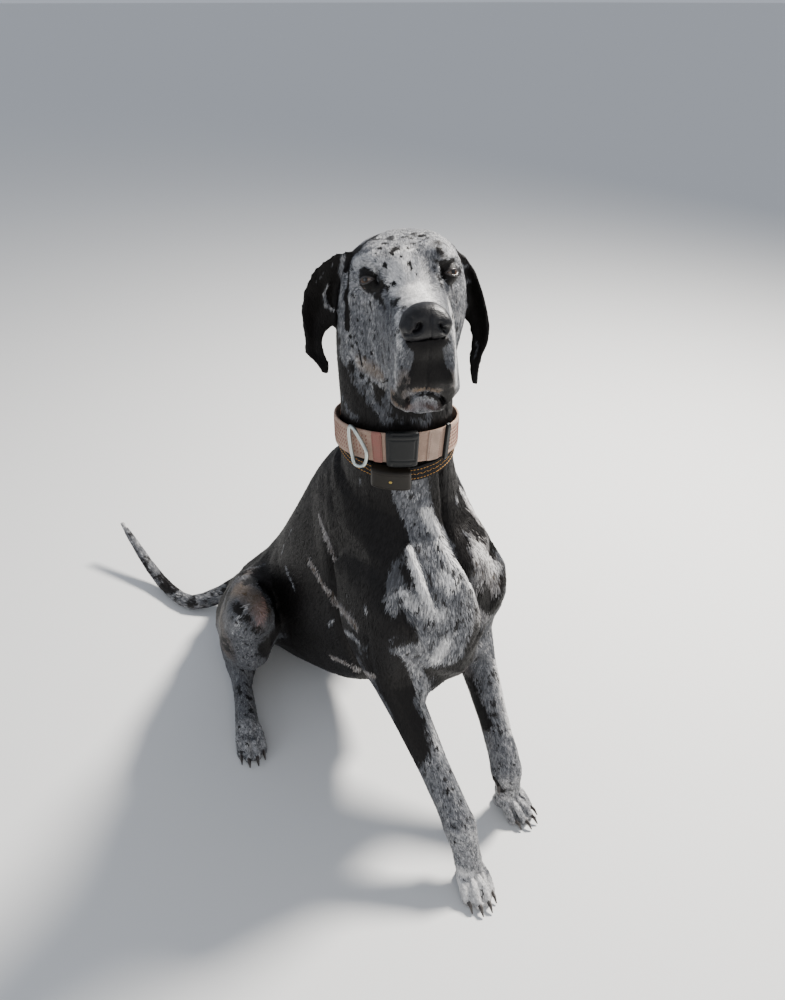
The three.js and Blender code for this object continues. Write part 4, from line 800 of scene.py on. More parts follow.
bodyMarks = {
    "chest upper": {"trace": ((408, 486), (418, 510), (427, 540)), "reach": 30, "edge": 14, "dark": 0.12, "pale": 0.14, "speck": 0.3},
    "chest middle": {"trace": ((432, 545), (442, 575), (450, 600)), "reach": 40, "edge": 16, "dark": 0.1, "pale": 0.1, "speck": 0.5},
    "chest lower": {"trace": ((424, 612), (446, 622), (462, 620)), "reach": 44, "edge": 14, "dark": 0.1, "pale": 0.16, "speck": 0.6},
    "breast": {"trace": ((412, 655), (432, 652), (446, 650)), "reach": 36, "edge": 14, "dark": 0.08, "pale": 0.24, "speck": 0.5},
    "arm join": {"trace": ((412, 668), (424, 690), (430, 712)), "reach": 16, "edge": 8, "dark": 0.04, "pale": 0.3},
    "left shoulder": {"trace": ((466, 490), (480, 535), (488, 575), (484, 606)), "reach": 34, "edge": 20, "dark": 0.3, "pale": 0.3, "tan_and_painted_light": 0.12},
    "chest ragged": {"trace": ((382, 498), (394, 530), (400, 560), (396, 590)), "reach": 14, "edge": 18, "dark": 0.66, "pale": 0.1},
    "wedge": {"trace": ((409.6, 547), (414, 562), (422, 584), (431, 603)), "reach": 8, "edge": 7, "pale": 0.92, "dark": 0, "speck": 0},
    # painted shade: the hollow beside the chest wedge is painted darker and not pale
    "shade in the chest valley": {"trace": ((416, 546), (424, 566), (433, 590), (440, 602)), "reach": 6, "edge": 8, "pale": 0, "dark": 0.34},
    "wedge foot": {"trace": ((404, 592), (420, 606), (440, 612)), "reach": 12, "edge": 16, "pale": 0.6, "dark": 0},
    "dark in the wedge": {"trace": ((408, 567), (413, 578), (405, 586)), "reach": 6, "edge": 8, "dark": 0.8},
    "dark below the wedge": {"trace": ((392, 600), (404, 622), (412, 632)), "reach": 14, "edge": 16, "dark": 0.66, "pale": 0.3},
    "strap": {"trace": ((425, 508), (436, 530), (444, 553), (458, 566)), "reach": 8, "edge": 9, "pale": 0.8, "dark": 0},
    "strap low": {"trace": ((458, 566), (472, 586), (481, 604)), "reach": 7, "edge": 8, "pale": 0.72, "dark": 0},
    "whorl": {"trace": ((446, 574), (452, 582)), "reach": 15, "edge": 12, "pale": 0.8, "dark": 0},
    "breast pale": {"trace": ((446, 640), (436, 656)), "reach": 12, "edge": 14, "pale": 0.66},
    # painted shade: a dark line along the deep fold of the left neck
    "painted shade in the neck fold": {"trace": ((444, 480), (446, 515), (455, 545), (470, 568)), "reach": 3.5, "edge": 5, "dark": 0.95},
    "left neck mix": {"trace": ((451, 480), (457, 500), (461, 512)), "reach": 9, "edge": 12, "dark": 0.42, "pale": 0.35},
    "left patch": {"trace": ((456, 515), (470, 522), (478, 532)), "reach": 15, "edge": 12, "dark": 1},
    "left patch low": {"trace": ((484, 596), (492, 606)), "reach": 14, "edge": 12, "dark": 0.8},
    "left neck streak": {"trace": ((460, 488), (466, 498), (473, 511)), "reach": 7, "edge": 10, "pale": 0.66, "dark": 0.15},
    "left neck dark": {"trace": ((456, 478), (464, 488), (474, 500)), "reach": 3, "edge": 5, "dark": 0.8},
    "left shoulder pale": {"trace": ((478, 548), (486, 556), (493, 568)), "reach": 13, "edge": 12, "pale": 0.7, "dark": 0.1},
    "flank streak one": {"trace": ((310, 560), (323, 582), (338, 603), (356, 624)), "reach": 6.5, "edge": 9, "dark": 0.0, "pale": 0.25, "tan_and_painted_light": 0.25},
    "flank streak two": {"trace": ((319, 513), (327, 538), (336, 559)), "reach": 5.5, "edge": 8, "dark": 0.0, "pale": 0.25, "tan_and_painted_light": 0.2},
    "flank streak three": {"trace": ((332, 657), (348, 663), (375, 677)), "reach": 7.5, "edge": 8, "dark": 0.0, "pale": 0.35, "tan_and_painted_light": 0.25},
    "flank streak four": {"trace": ((286, 566), (291, 578), (295, 589)), "reach": 3.4, "edge": 5, "dark": 0.0, "pale": 0.3},
    "flank streak five": {"trace": ((344, 629), (352, 634), (358, 641)), "reach": 4, "edge": 6, "dark": 0.0, "pale": 0.3},
    "flank streak six": {"trace": ((329, 624), (334, 619)), "reach": 3.4, "edge": 5, "dark": 0.0, "pale": 0.3},
    "flank streak seven": {"trace": ((282, 552), (287, 536), (292, 528)), "reach": 2.6, "edge": 5, "dark": 0.0, "pale": 0.3},
    "shoulder streak": {"trace": ((366, 605), (368, 612)), "reach": 3, "edge": 4, "dark": 0.2, "pale": 0.4},
    "throat streak": {"trace": ((360, 478), (361, 490)), "reach": 3, "edge": 5, "dark": 0.25, "pale": 0.3},
    # painted sunlight: the sunlit hair on top of the knee is painted brown
    "sunlit brown on the knee": {"trace": ((236, 588), (250, 592), (262, 606)), "reach": 20, "edge": 16, "dark": 0.4, "tan_and_painted_light": 0.4, "pale": 0.05},
    "knee pink": {"trace": ((262, 600), (264, 612), (260, 622)), "reach": 5, "edge": 8, "pink": 0.5, "dark": 0},
    "knee streak": {"trace": ((248, 604), (240, 616), (233, 633)), "reach": 4, "edge": 9, "pale": 0.6, "dark": 0.05},
    "knee top line": {"trace": ((257, 583), (264, 592)), "reach": 1.6, "edge": 3, "pale": 0.8, "dark": 0},
    "shin blue": {"trace": ((240, 632), (246, 655), (252, 668)), "reach": 16, "edge": 16, "dark": 0.2, "pale": 0.15},
    "haunch top": {"trace": ((238, 576), (250, 571), (262, 577)), "reach": 15, "edge": 14, "dark": 0.85, "tan_and_painted_light": 0.2},
    "thigh dark": {"trace": ((220, 600), (221, 625), (226, 652)), "reach": 22, "edge": 22, "dark": 0.62, "tan_and_painted_light": 0.25},
    "shin dark": {"trace": ((262, 624), (268, 655)), "reach": 10, "edge": 24, "dark": 0.6},
    "knee dark": {"trace": ((240, 606), (247, 612), (256, 613)), "reach": 5, "edge": 14, "dark": 0.66},
    "hind toes": {"trace": ((246, 745), (256, 752)), "reach": 9, "edge": 16, "pale": 0.42, "dark": 0},
    "foreleg black": {"trace": ((392, 690), (404, 716), (410, 742), (412, 762)), "reach": 24, "edge": 7, "dark": 1},
    "foreleg black upper": {"trace": ((384, 660), (394, 690)), "reach": 34, "edge": 8, "dark": 1},
    "foreleg light": {"trace": ((422, 700), (432, 724), (440, 750)), "reach": 9, "edge": 5, "dark": 0, "pale": 0.4},
    "left foreleg dark": {"trace": ((462, 668), (474, 700), (482, 722)), "reach": 16, "edge": 12, "dark": 0.6, "tan_and_painted_light": 0.15},
    "left foreleg light": {"trace": ((496, 664), (504, 700), (511, 730)), "reach": 9, "edge": 9, "pale": 0.62, "dark": 0.05},
    "right toes": {"trace": ((462, 884), (476, 890), (488, 896)), "reach": 26, "edge": 12, "pale": 0.66, "dark": 0},
    "left toes": {"trace": ((508, 800), (518, 804)), "reach": 14, "edge": 10, "pale": 0.5, "dark": 0.1},
    # painted shadow below the left wrist
    "shadow on the left pastern": {"trace": ((494, 778), (500, 790), (512, 790)), "reach": 8, "edge": 8, "dark": 0.75},
}
legSpots = {
    (446, 790): 7, (450, 770): 4, (436, 748): 5, (426, 748): 4, (465, 826): 4, (454, 842): 4.5, (458, 858): 4, (432, 790): 4, (440, 810): 3,
    (476, 872): 3, (509, 728): 4.5, (494, 730): 4, (504, 690): 3, (489, 700): 3, (500, 760): 3,
    (232, 640): 4, (242, 700): 4, (248, 722): 3.5, (238, 730): 3, (254, 640): 3, (350, 600): 3, (410, 640): 5, (430, 624): 4,
}
bodyMarks |= {f"leg spot {i}": {"trace": (at,), "reach": size * 0.7, "edge": 5, "dark": 0.8} for i, (at, size) in enumerate(legSpots.items())}
farMarks = {
    "back": {"at": ((30, -200, 690), (20, -60, 540), (10, 80, 360), (10, 220, 190)), "reach": 52, "edge": 30, "dark": 1},
    "far shoulder": {"at": ((110, -260, 560), (118, -300, 480)), "reach": 46, "edge": 34, "dark": 0.85},
    "far thigh": {"at": ((150, 60, 280), (170, 120, 200)), "reach": 52, "edge": 34, "dark": 0.85},
    "near thigh": {"at": ((-130, 120, 250), (-150, 190, 160)), "reach": 58, "edge": 24, "dark": 0.95},
    "tail band one": {"at": ((-70, 330, 50), (-90, 345, 45)), "reach": 20, "edge": 14, "dark": 0.95},
    "tail band two": {"at": ((-160, 430, 24), (-160, 460, 24)), "reach": 14, "edge": 14, "dark": 0.85},
    "tail band three": {"at": ((-180, 570, 60), (-182, 600, 70)), "reach": 12, "edge": 12, "dark": 0.8},
    "tail end": {"at": ((-172, 660, 112), (-170, 680, 124)), "reach": 10, "edge": 10, "dark": 0.1, "pale": 0.7},
    "belly": {"at": ((15, -250, 290), (15, -120, 250), (12, -20, 190)), "reach": 20, "edge": 18, "dark": 0.3, "pale": 0.3},
}
for side, e in eyes.items():
    rim = e["middle"] + e["axes"][2] * eye["radius"]
    faceMarks[f"{side} lids"] = {"at": (rim, rim + e["axes"][1] * -3), "reach": 14.5, "edge": 7, "dark": 0.95}
for stroke in [*bodyMarks.values(), *farMarks.values(), *faceMarks.values()]:
    stroke["line"] = lineOf(stroke)


def painted(points, layers):
    # the markings at these points, over the ground colours
    paint = {"dark": layers[:, 0].copy(), "pale": layers[:, 1].copy(), "speck": layers[:, 2].copy()}
    paint |= {"tan_and_painted_light": np.zeros(len(points)), "pink": np.zeros(len(points))}
    for strokes in (bodyMarks, farMarks, faceMarks):
        brush(strokes, points, paint)
    return np.stack([paint["dark"], paint["pale"], paint["tan_and_painted_light"], paint["pink"]], 1), paint["speck"]


nose = BVHTree.FromObject(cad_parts["nose"], bpy.context.evaluated_depsgraph_get())
lipLine = lineOf(folds["lip opening"])


def bareOf(points):
    # 1 where no hair grows: inside the lids, at the nose and along the lips
    bare = np.zeros(len(points))
    for e in eyes.values():
        near = np.flatnonzero(np.linalg.norm(points - e["middle"], axis=1) < 20)
        x, y, _ = ((points[near] - e["middle"]) @ e["axes"].T).T
        high, low = almond(x)
        over = np.maximum(np.maximum(y - high, low - y), np.abs(x) - eye["halfWide"])
        bare[near] = np.maximum(bare[near], np.clip((3.0 - over) / 1.5, 0, 1))
    face = np.flatnonzero(np.linalg.norm(points - inHead((0, -140, -20)), axis=1) < 60)
    gap = np.array([nose.find_nearest(Vector(p * mm))[3] / mm for p in points[face]])
    bare[face] = np.maximum(bare[face], np.clip((3.5 - gap) / 1.5, 0, 1))
    near, far = farFrom(lipLine, points, 6)
    bare[near] = np.maximum(bare[near], np.clip((4 - far) / 1.5, 0, 1))
    return bare


bare = bareOf(coat.points)
lies = unit(np.array([np.asarray(lie[n], float) for n in flesh]))[coat.owner]
onHead = np.isin(coat.owner, [flesh.index(n) for n in ("skull", "muzzle", "jaw")])
spot = toHead(coat.points)
low = np.clip((4 - spot[:, 2]) / 26, 0, 1) * np.clip((np.abs(spot[:, 0]) - 12) / 18, 0, 1)
down = unit(np.array((0, 0.5, -1)) @ headAxes.T)
lies = np.where(onHead[:, None], lies * (1 - low[:, None]) + down * low[:, None], lies)
for _ in range(24):
    lies = averageAround(lies, coat.edges, coat.count)


def addAttribute(mesh, name, kind, values):
    attribute = mesh.attributes.new(name, kind, "POINT")
    field = {"FLOAT": "value", "FLOAT_VECTOR": "vector", "FLOAT_COLOR": "color"}[kind]
    attribute.data.foreach_set(field, np.ascontiguousarray(values, np.float32).ravel())


marks, speck = painted(coat.points, layers)
addAttribute(skin.data, "marks", "FLOAT_COLOR", marks)
addAttribute(skin.data, "speck", "FLOAT", speck)
addAttribute(skin.data, "rest", "FLOAT_VECTOR", coat.points * mm)
skin.data.materials.append(coatMaterial("coat skin", 0.62, False))
skin.data.polygons.foreach_set("use_smooth", np.ones(len(skin.data.polygons), bool))
print("markings painted")


# OFBake: the skin's own unwrap
def unwrap(piece):
    piece.data.uv_layers.new(name="OFBake")
    bpy.ops.object.select_all(action="DESELECT")
    bpy.context.view_layer.objects.active = piece
    piece.select_set(True)
    bpy.ops.object.mode_set(mode="EDIT")
    bpy.ops.mesh.select_all(action="SELECT")
    bpy.ops.uv.smart_project(angle_limit=math.radians(70), island_margin=0.001)
    bpy.ops.object.mode_set(mode="OBJECT")


unwrap(skin)
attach(skin, "root")
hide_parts(*flesh)
print("skin unwrapped")


def meshPiece(name, points, faces, material=None):
    # faces is an array with one row of corners for each face
    mesh = bpy.data.meshes.new(name)
    sides = faces.shape[1]
    mesh.vertices.add(len(points))
    mesh.vertices.foreach_set("co", (points * mm).astype(np.float32).ravel())
    mesh.loops.add(len(faces) * sides)
    mesh.loops.foreach_set("vertex_index", faces.astype(np.int32).ravel())
    mesh.polygons.add(len(faces))
    mesh.polygons.foreach_set("loop_start", np.arange(0, len(faces) * sides, sides, dtype=np.int32))
    mesh.update(calc_edges=True)
    mesh.polygons.foreach_set("use_smooth", np.ones(len(faces), bool))
    piece = bpy.data.objects.new(name, mesh)
    bpy.context.collection.objects.link(piece)
    if material:
        mesh.materials.append(material)
    return piece


# Tufts: thin locks of hair, rooted in the skin and laid along it
tufts = {
    # piece: nodes, number, length, width, stand-off in mm
    "coat_muzzle": {"nodes": ("muzzle", "jaw"), "number": 32000, "length": 5.0, "width": 0.9, "lift": 0.35},
    "coat_head": {"nodes": ("skull",), "number": 32500, "length": 6.5, "width": 1.1, "lift": 0.45},
    "coat_ears": {"nodes": ("ear_right", "ear_left"), "number": 15000, "length": 7, "width": 1.3, "lift": 0.45},
    "coat_neck": {"nodes": ("neck_upper", "neck_lower"), "number": 26000, "length": 11, "width": 1.7, "lift": 0.7},
    "coat_chest": {"nodes": ("chest",), "number": 33000, "length": 14, "width": 2.1, "lift": 0.9},
    "coat_shoulders": {"nodes": ("upper_arm_right", "upper_arm_left"), "number": 20000, "length": 13, "width": 1.9, "lift": 0.8},
    "coat_back": {"nodes": ("loin", "rump"), "number": 20000, "length": 14, "width": 2.2, "lift": 0.9},
    "coat_forelegs": {
        "nodes": tuple(f"{p}_{s}" for p in ("forearm", "forepaw") for s in sides), "number": 26000,
        "length": 7.5, "width": 1.3, "lift": 0.5,
    },
    "coat_hind_legs": {
        "nodes": tuple(f"{p}_{s}" for p in ("thigh", "shin", "hind_foot", "hind_paw") for s in sides), "number": 30000,
        "length": 9, "width": 1.6, "lift": 0.6,
    },
    "coat_tail": {"nodes": ("tail_root", "tail_middle", "tail_tip"), "number": 8000, "length": 10, "width": 1.5, "lift": 0.6},
}
patch = 0.003
lockShape = np.array([(-0.5, 0, 0), (0, 0, 0), (0.5, 0, 0), (-0.5, 0.5, 0), (0, 0.5, 0), (0.5, 0.5, 0), (0, 1, 0)])
lockFaces = np.array([(0, 1, 4), (0, 4, 3), (1, 2, 5), (1, 5, 4), (3, 4, 6), (4, 5, 6)])
skin.data.calc_loop_triangles()
triangles = np.empty(len(skin.data.loop_triangles) * 3, np.int32)
skin.data.loop_triangles.foreach_get("vertices", triangles)
triangles = triangles.reshape(-1, 3)
corners = np.empty(len(triangles) * 3, np.int32)
skin.data.loop_triangles.foreach_get("loops", corners)
corners = corners.reshape(-1, 3)
flatMap = np.empty(len(skin.data.loops) * 2, np.float32)
skin.data.uv_layers["OFBake"].data.foreach_get("uv", flatMap)
flatMap = flatMap.reshape(-1, 2)
coat.save()
cornerPoints = coat.points[triangles]
areas = np.linalg.norm(np.cross(cornerPoints[:, 1] - cornerPoints[:, 0], cornerPoints[:, 2] - cornerPoints[:, 0]), axis=1)
under = BVHTree.FromObject(skin, bpy.context.evaluated_depsgraph_get())
paws = [flesh.index(n) for n in flesh if "paw" in n]
shortness = np.where(np.isin(coat.owner, paws), 0.6, 1.0)


def laidOn(points, lift):
    # the nearest places on the skin, lifted off it
    out = np.empty_like(points)
    for i, p in enumerate(points * mm):
        place, normal, _, _ = under.find_nearest(Vector(p))
        out[i] = np.array(place) / mm + np.array(normal) * lift[i]
    return out


def growTufts(name, nodes, number, length, width, lift, seed):
    chance = np.random.default_rng(seed)
    mine = np.isin(coat.owner[triangles[:, 0]], [flesh.index(n) for n in nodes])
    weight = areas * mine * (1 - bare[triangles].mean(1)) ** 2
    pick = chance.choice(len(triangles), number, p=weight / weight.sum())
    a, b = np.sort(chance.random((2, number)), axis=0)
    share = np.stack([a, b - a, 1 - b], 1)

    def blend(values):
        return np.einsum("ij,ij...->i...", share, values[triangles[pick]])

    root = blend(coat.points)
    normal = unit(blend(coat.normals))
    along = blend(lies)
    along = unit(along - normal * np.sum(along * normal, axis=1, keepdims=True))
    side = np.cross(along, normal)
    sway = chance.normal(0, 0.16, number)[:, None]
    along = unit(along + side * sway)
    side = np.cross(along, normal)
    size = (length * chance.uniform(0.7, 1.2, number) * blend(shortness))[:, None]
    wide = (width * chance.uniform(0.7, 1.25, number))[:, None]
    high = lift * chance.uniform(0.5, 1.5, number)
    middle = laidOn(root + along * size * 0.5, high)
    tip = laidOn(root + along * size, high * 0.7)
    root = root - normal * 0.15
    ridge = normal * wide * 0.22
    points = np.stack([
        root - side * wide * 0.35, root + ridge, root + side * wide * 0.35,
        middle - side * wide * 0.5, middle + ridge, middle + side * wide * 0.5, tip,
    ], 1)
    points[..., 2] = np.maximum(points[..., 2], 0.15)
    faces = lockFaces[None] + np.arange(number)[:, None, None] * 7
    piece = meshPiece(name, points.reshape(-1, 3), faces.reshape(-1, 3), furMaterial)
    rootMap = np.einsum("ij,ijk->ik", share, flatMap[corners[pick]])
    spread = (lockShape[lockFaces][..., :2] - (0, 0.5)) * patch
    piece.data.uv_layers.new(name="OFBake")
    where = rootMap[:, None, None, :] + spread[None]
    piece.data.uv_layers["OFBake"].data.foreach_set("uv", where.astype(np.float32).ravel())
    marks, speck = painted(blend(coat.points), blend(layers))
    addAttribute(piece.data, "marks", "FLOAT_COLOR", np.repeat(marks, 7, axis=0))
    addAttribute(piece.data, "speck", "FLOAT", np.repeat(speck, 7))
    addAttribute(piece.data, "rest", "FLOAT_VECTOR", np.repeat(blend(coat.points) * mm, 7, axis=0))
    addAttribute(piece.data, "shade", "FLOAT", np.repeat(chance.random(number), 7))
    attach(piece, "root")


furMaterial = coatMaterial("coat hair", 0.48, True)
for seed, (name, tuft) in enumerate(tufts.items()):
    growTufts(name, seed=seed + 11, **tuft)
print("coat grown")


def copyOf(name, nodes, extra=None):
    # the nodes as one merged copy
    joined = bmesh.new()
    for node in nodes:
        joined.from_mesh(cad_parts[node].data)
    bmesh.ops.remove_doubles(joined, verts=joined.verts, dist=1e-6)
    if extra:
        extra(joined)
    mesh = bpy.data.meshes.new(name)
    joined.to_mesh(mesh)
    joined.free()
    piece = bpy.data.objects.new(name, mesh)
    bpy.context.collection.objects.link(piece)
    return piece


def finish(piece, slot, *nodes):
    piece.data.polygons.foreach_set("use_smooth", np.ones(len(piece.data.polygons), bool))
    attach(piece, "root")
    if nodes:
        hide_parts(*nodes)


# Nose leather
noseSizes = {"voxel": 0.95, "smooth": 34, "grow": 0.5, "pebbles": 620, "old nostrils": ((413.4, 330.6), (440, 327.8))}
noseShape = {
    "right nostril": {"trace": ((420, 326), (419, 330), (415, 333)), "lift": -8.5, "wide": 3.4},
    "left nostril": {"trace": ((442, 325), (444, 329), (447, 331)), "lift": -8.0, "wide": 3.2},
    "right slit": {"trace": ((414, 334), (409, 335.5), (405, 335)), "lift": -2.6, "wide": 1.5},
    "left slit": {"trace": ((447, 332), (450, 333)), "lift": -2.2, "wide": 1.4},
    "groove": {"trace": ((431, 316), (431.5, 328), (431, 340)), "lift": -1.1, "wide": 1.3},
    "right wing": {"trace": ((411, 320), (407, 326)), "lift": 1.6, "wide": 5},
    "left wing": {"trace": ((448, 319), (451, 325)), "lift": 1.4, "wide": 4.5},
}


def makeNose():
    def fill(joined):
        for u, v in noseSizes["old nostrils"]:      # pixels of the photo
            ray = throughPixel(u, v)
            place = nose.ray_cast(camera.location, ray)[0] + ray * 0.002
            bmesh.ops.create_icosphere(joined, subdivisions=2, radius=8 * mm, matrix=Matrix.Translation(place))
    piece = remeshed(copyOf("nose_leather", ["nose"], fill), noseSizes["voxel"])
    shape = Surface(piece.data)
    shape.smooth(np.ones(len(shape.points)), noseSizes["smooth"], back=0)
    shape.save()
    shape.points += shape.normals * noseSizes["grow"]
    shape.save()
    global tree, clay
    kept = (tree, clay)
    tree = BVHTree.FromObject(piece, bpy.context.evaluated_depsgraph_get())
    clay = shape
    work(noseShape)
    shape.smooth(np.ones(len(shape.points)), 2)
    shape.save()
    tree, clay = kept
    material, w = newMaterial("nose leather", 0.42, 0.28)
    where = w.place()
    cells = w.add("ShaderNodeTexVoronoi", feature="F1")
    cells.inputs["Scale"].default_value = noseSizes["pebbles"]
    w.plug(where, cells.inputs["Vector"])
    w.colour(w.mix(w.noise(where, 90, 4), (0.0025, 0.0025, 0.003, 1), (0.0075, 0.007, 0.0085, 1)))
    w.bump(w.math("SUBTRACT", 1.0, cells.outputs["Distance"]), 0.5, 0.7)
    w.shader.inputs["Coat Weight"].default_value = 0.12
    w.shader.inputs["Coat Roughness"].default_value = 0.3
    piece.data.materials.append(material)
    finish(piece, "nose", "nose")


makeNose()

# Claws
claws = [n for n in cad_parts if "_claw_" in n]


def makeClaws():
    piece = remeshed(copyOf("claws", claws), 0.75)
    mesh = piece.data
    points, edges = pointsOf(mesh), edgesOf(mesh)
    count = np.bincount(edges.ravel(), minlength=len(points)).astype(float)
    store(mesh, smooth(points, edges, count, np.ones(len(points)), 8, back=0.5))
    material, w = newMaterial("horn", 0.33)
    where = w.place()
    w.colour(w.mix(w.noise(where, 210, 4, 0.7), (0.012, 0.011, 0.011, 1), (0.065, 0.052, 0.045, 1)))
    w.bump(w.noise(where, 900, 2), 0.2, 0.5)
    mesh.materials.append(material)
    finish(piece, "claw", *claws)


makeClaws()
print("nose and claws made")


# Eyes
def grid(rows, around, closed=True):
    # quads between rows of points, each row of this many points
    faces = []
    for r in range(rows - 1):
        for c in range(around if closed else around - 1):
            d = (c + 1) % around
            faces.append((r * around + c, r * around + d, (r + 1) * around + d, (r + 1) * around + c))
    return np.array(faces)


def outward(piece):
    work = bmesh.new()
    work.from_mesh(piece.data)
    bmesh.ops.remove_doubles(work, verts=work.verts, dist=1e-7)
    bmesh.ops.recalc_face_normals(work, faces=work.faces)
    work.to_mesh(piece.data)
    work.free()


def eyeMaterial():
    material, w = newMaterial("eyeball", 0.2, 0.2)
    spot = w.read("iris", "Vector")
    far = w.add("ShaderNodeVectorMath", operation="LENGTH")
    w.plug(spot, far.inputs[0])
    far = far.outputs["Value"]
    streak = w.add("ShaderNodeVectorMath", operation="NORMALIZE")
    w.plug(spot, streak.inputs[0])
    rays = w.noise(streak.outputs["Vector"], 9, 4, 0.7)
    iris = w.mix(w.step(rays, 0.3, 0.7), (0.030, 0.014, 0.006, 1), (0.085, 0.040, 0.014, 1))
    iris = w.mix(w.step(far, 0.70, 1.0), iris, (0.03, 0.018, 0.010, 1))
    white = w.mix(w.step(w.noise(spot, 6, 4), 0.4, 0.7), (0.22, 0.15, 0.12, 1), (0.14, 0.06, 0.05, 1))
    colour = w.mix(w.step(far, 0.97, 1.08), iris, white)
    pupil = eye["pupil"] / eye["iris"]
    colour = w.mix(w.step(far, pupil * 0.94, pupil * 1.08), (0.003, 0.003, 0.003, 1), colour)
    w.colour(colour)
    w.shader.inputs["Coat Weight"].default_value = 0.7
    w.shader.inputs["Coat Roughness"].default_value = 0.03
    return material


def makeEyes():
    ball, w = eyeMaterial(), None
    rim, w = newMaterial("lid rim", 0.28)
    w.colour(w.mix(w.noise(w.place(), 300, 3), (0.010, 0.008, 0.008, 1), (0.035, 0.026, 0.024, 1)))
    haw, w = newMaterial("haw", 0.22)
    w.colour(w.mix(w.noise(w.place(), 500, 3), (0.16, 0.055, 0.045, 1), (0.30, 0.12, 0.10, 1)))
    haw.node_tree.nodes["Principled BSDF"].inputs["Coat Weight"].default_value = 0.6
    for side, e in eyes.items():
        turns = np.linspace(0, math.pi, 41)
        round = np.linspace(0, 2 * math.pi, 64, endpoint=False)
        t, p = np.meshgrid(turns, round, indexing="ij")
        wide = eye["radius"] * np.sin(t)
        deep = eye["radius"] * np.cos(t)
        deep = deep + np.where(t < 1.2, eye["bulge"] * np.clip(1 - (wide / eye["iris"]) ** 2, 0, 1), 0)
        local = np.stack([wide * np.cos(p), wide * np.sin(p), deep], -1).reshape(-1, 3)
        piece = meshPiece(f"eyeball_{side}", local @ e["axes"] + e["middle"], grid(41, 64), ball)
        spot = local / eye["iris"]
        spot[:, 2] = np.where(local[:, 2] > 0, 0, 2)
        addAttribute(piece.data, "iris", "FLOAT_VECTOR", spot)
        outward(piece)
        finish(piece, "eye", f"eye_{side}")

        # the rims of the lids, a closed tube round the opening
        steps = 72
        angle = np.linspace(0, 2 * math.pi, steps, endpoint=False)
        x = -eye["halfWide"] * np.cos(angle)
        high, low = almond(x)
        y = np.where(angle < math.pi, high, low)
        z = np.sqrt((eye["radius"] + 0.25) ** 2 - x**2 - y**2)
        middle = np.stack([x, y, z], 1)
        middle = (np.roll(middle, 1, 0) + 2 * middle + np.roll(middle, -1, 0)) / 4
        run = unit(np.roll(middle, -1, 0) - np.roll(middle, 1, 0))
        out = unit(middle)
        over = np.cross(run, out)
        ring = np.linspace(0, 2 * math.pi, 12, endpoint=False)
        tube = middle[:, None] + eye["rim"] * (np.cos(ring)[None, :, None] * out[:, None] + np.sin(ring)[None, :, None] * over[:, None] * 1.3)
        faces = grid(steps + 1, 12) % (steps * 12)
        piece = meshPiece(f"lid_rim_{side}", tube.reshape(-1, 3) @ e["axes"] + e["middle"], faces, rim)
        outward(piece)
        finish(piece, "eye")

        # the haw that a drooping lower lid shows
        x = np.linspace(-eye["halfWide"] * 0.93, eye["halfWide"] * 0.8, 30)
        low = almond(x)[1]
        rows = []
        for k in range(6):
            rise = 0.6 + (k / 5) * 2.0 * np.clip(1 - (x / eye["halfWide"]) ** 2, 0, 1) ** 0.6
            y = low + rise
            z = np.sqrt((eye["radius"] + 0.35 - 0.06 * k) ** 2 - x**2 - y**2)
            rows.append(np.stack([x, y, z], 1))
        for k in range(6):      # and its back, so that it is closed round its section; its two ends stay open
            rows.append(rows[5 - k] * 0.985)
        rows.append(rows[0])
        local = np.concatenate(rows)
        piece = meshPiece(f"haw_{side}", local @ e["axes"] + e["middle"], grid(13, 30, closed=False), haw)
        outward(piece)
        finish(piece, "eye")


makeEyes()
print("eyes made")

# Collars: one wide woven, one narrow strap, each a band of rings round the neck read off its CAD node
collars = {
    "wide": {"node": "collar_band", "middle": (-14.9, -318.5, 768), "axis": (0.07, 0.1, 1), "high": 48, "thick": 3.2},
    "narrow": {"node": "lower_band", "middle": (-13.9, -311.5, 752), "axis": (-0.14, -0.18, 1), "high": 25, "thick": 2.8},
}


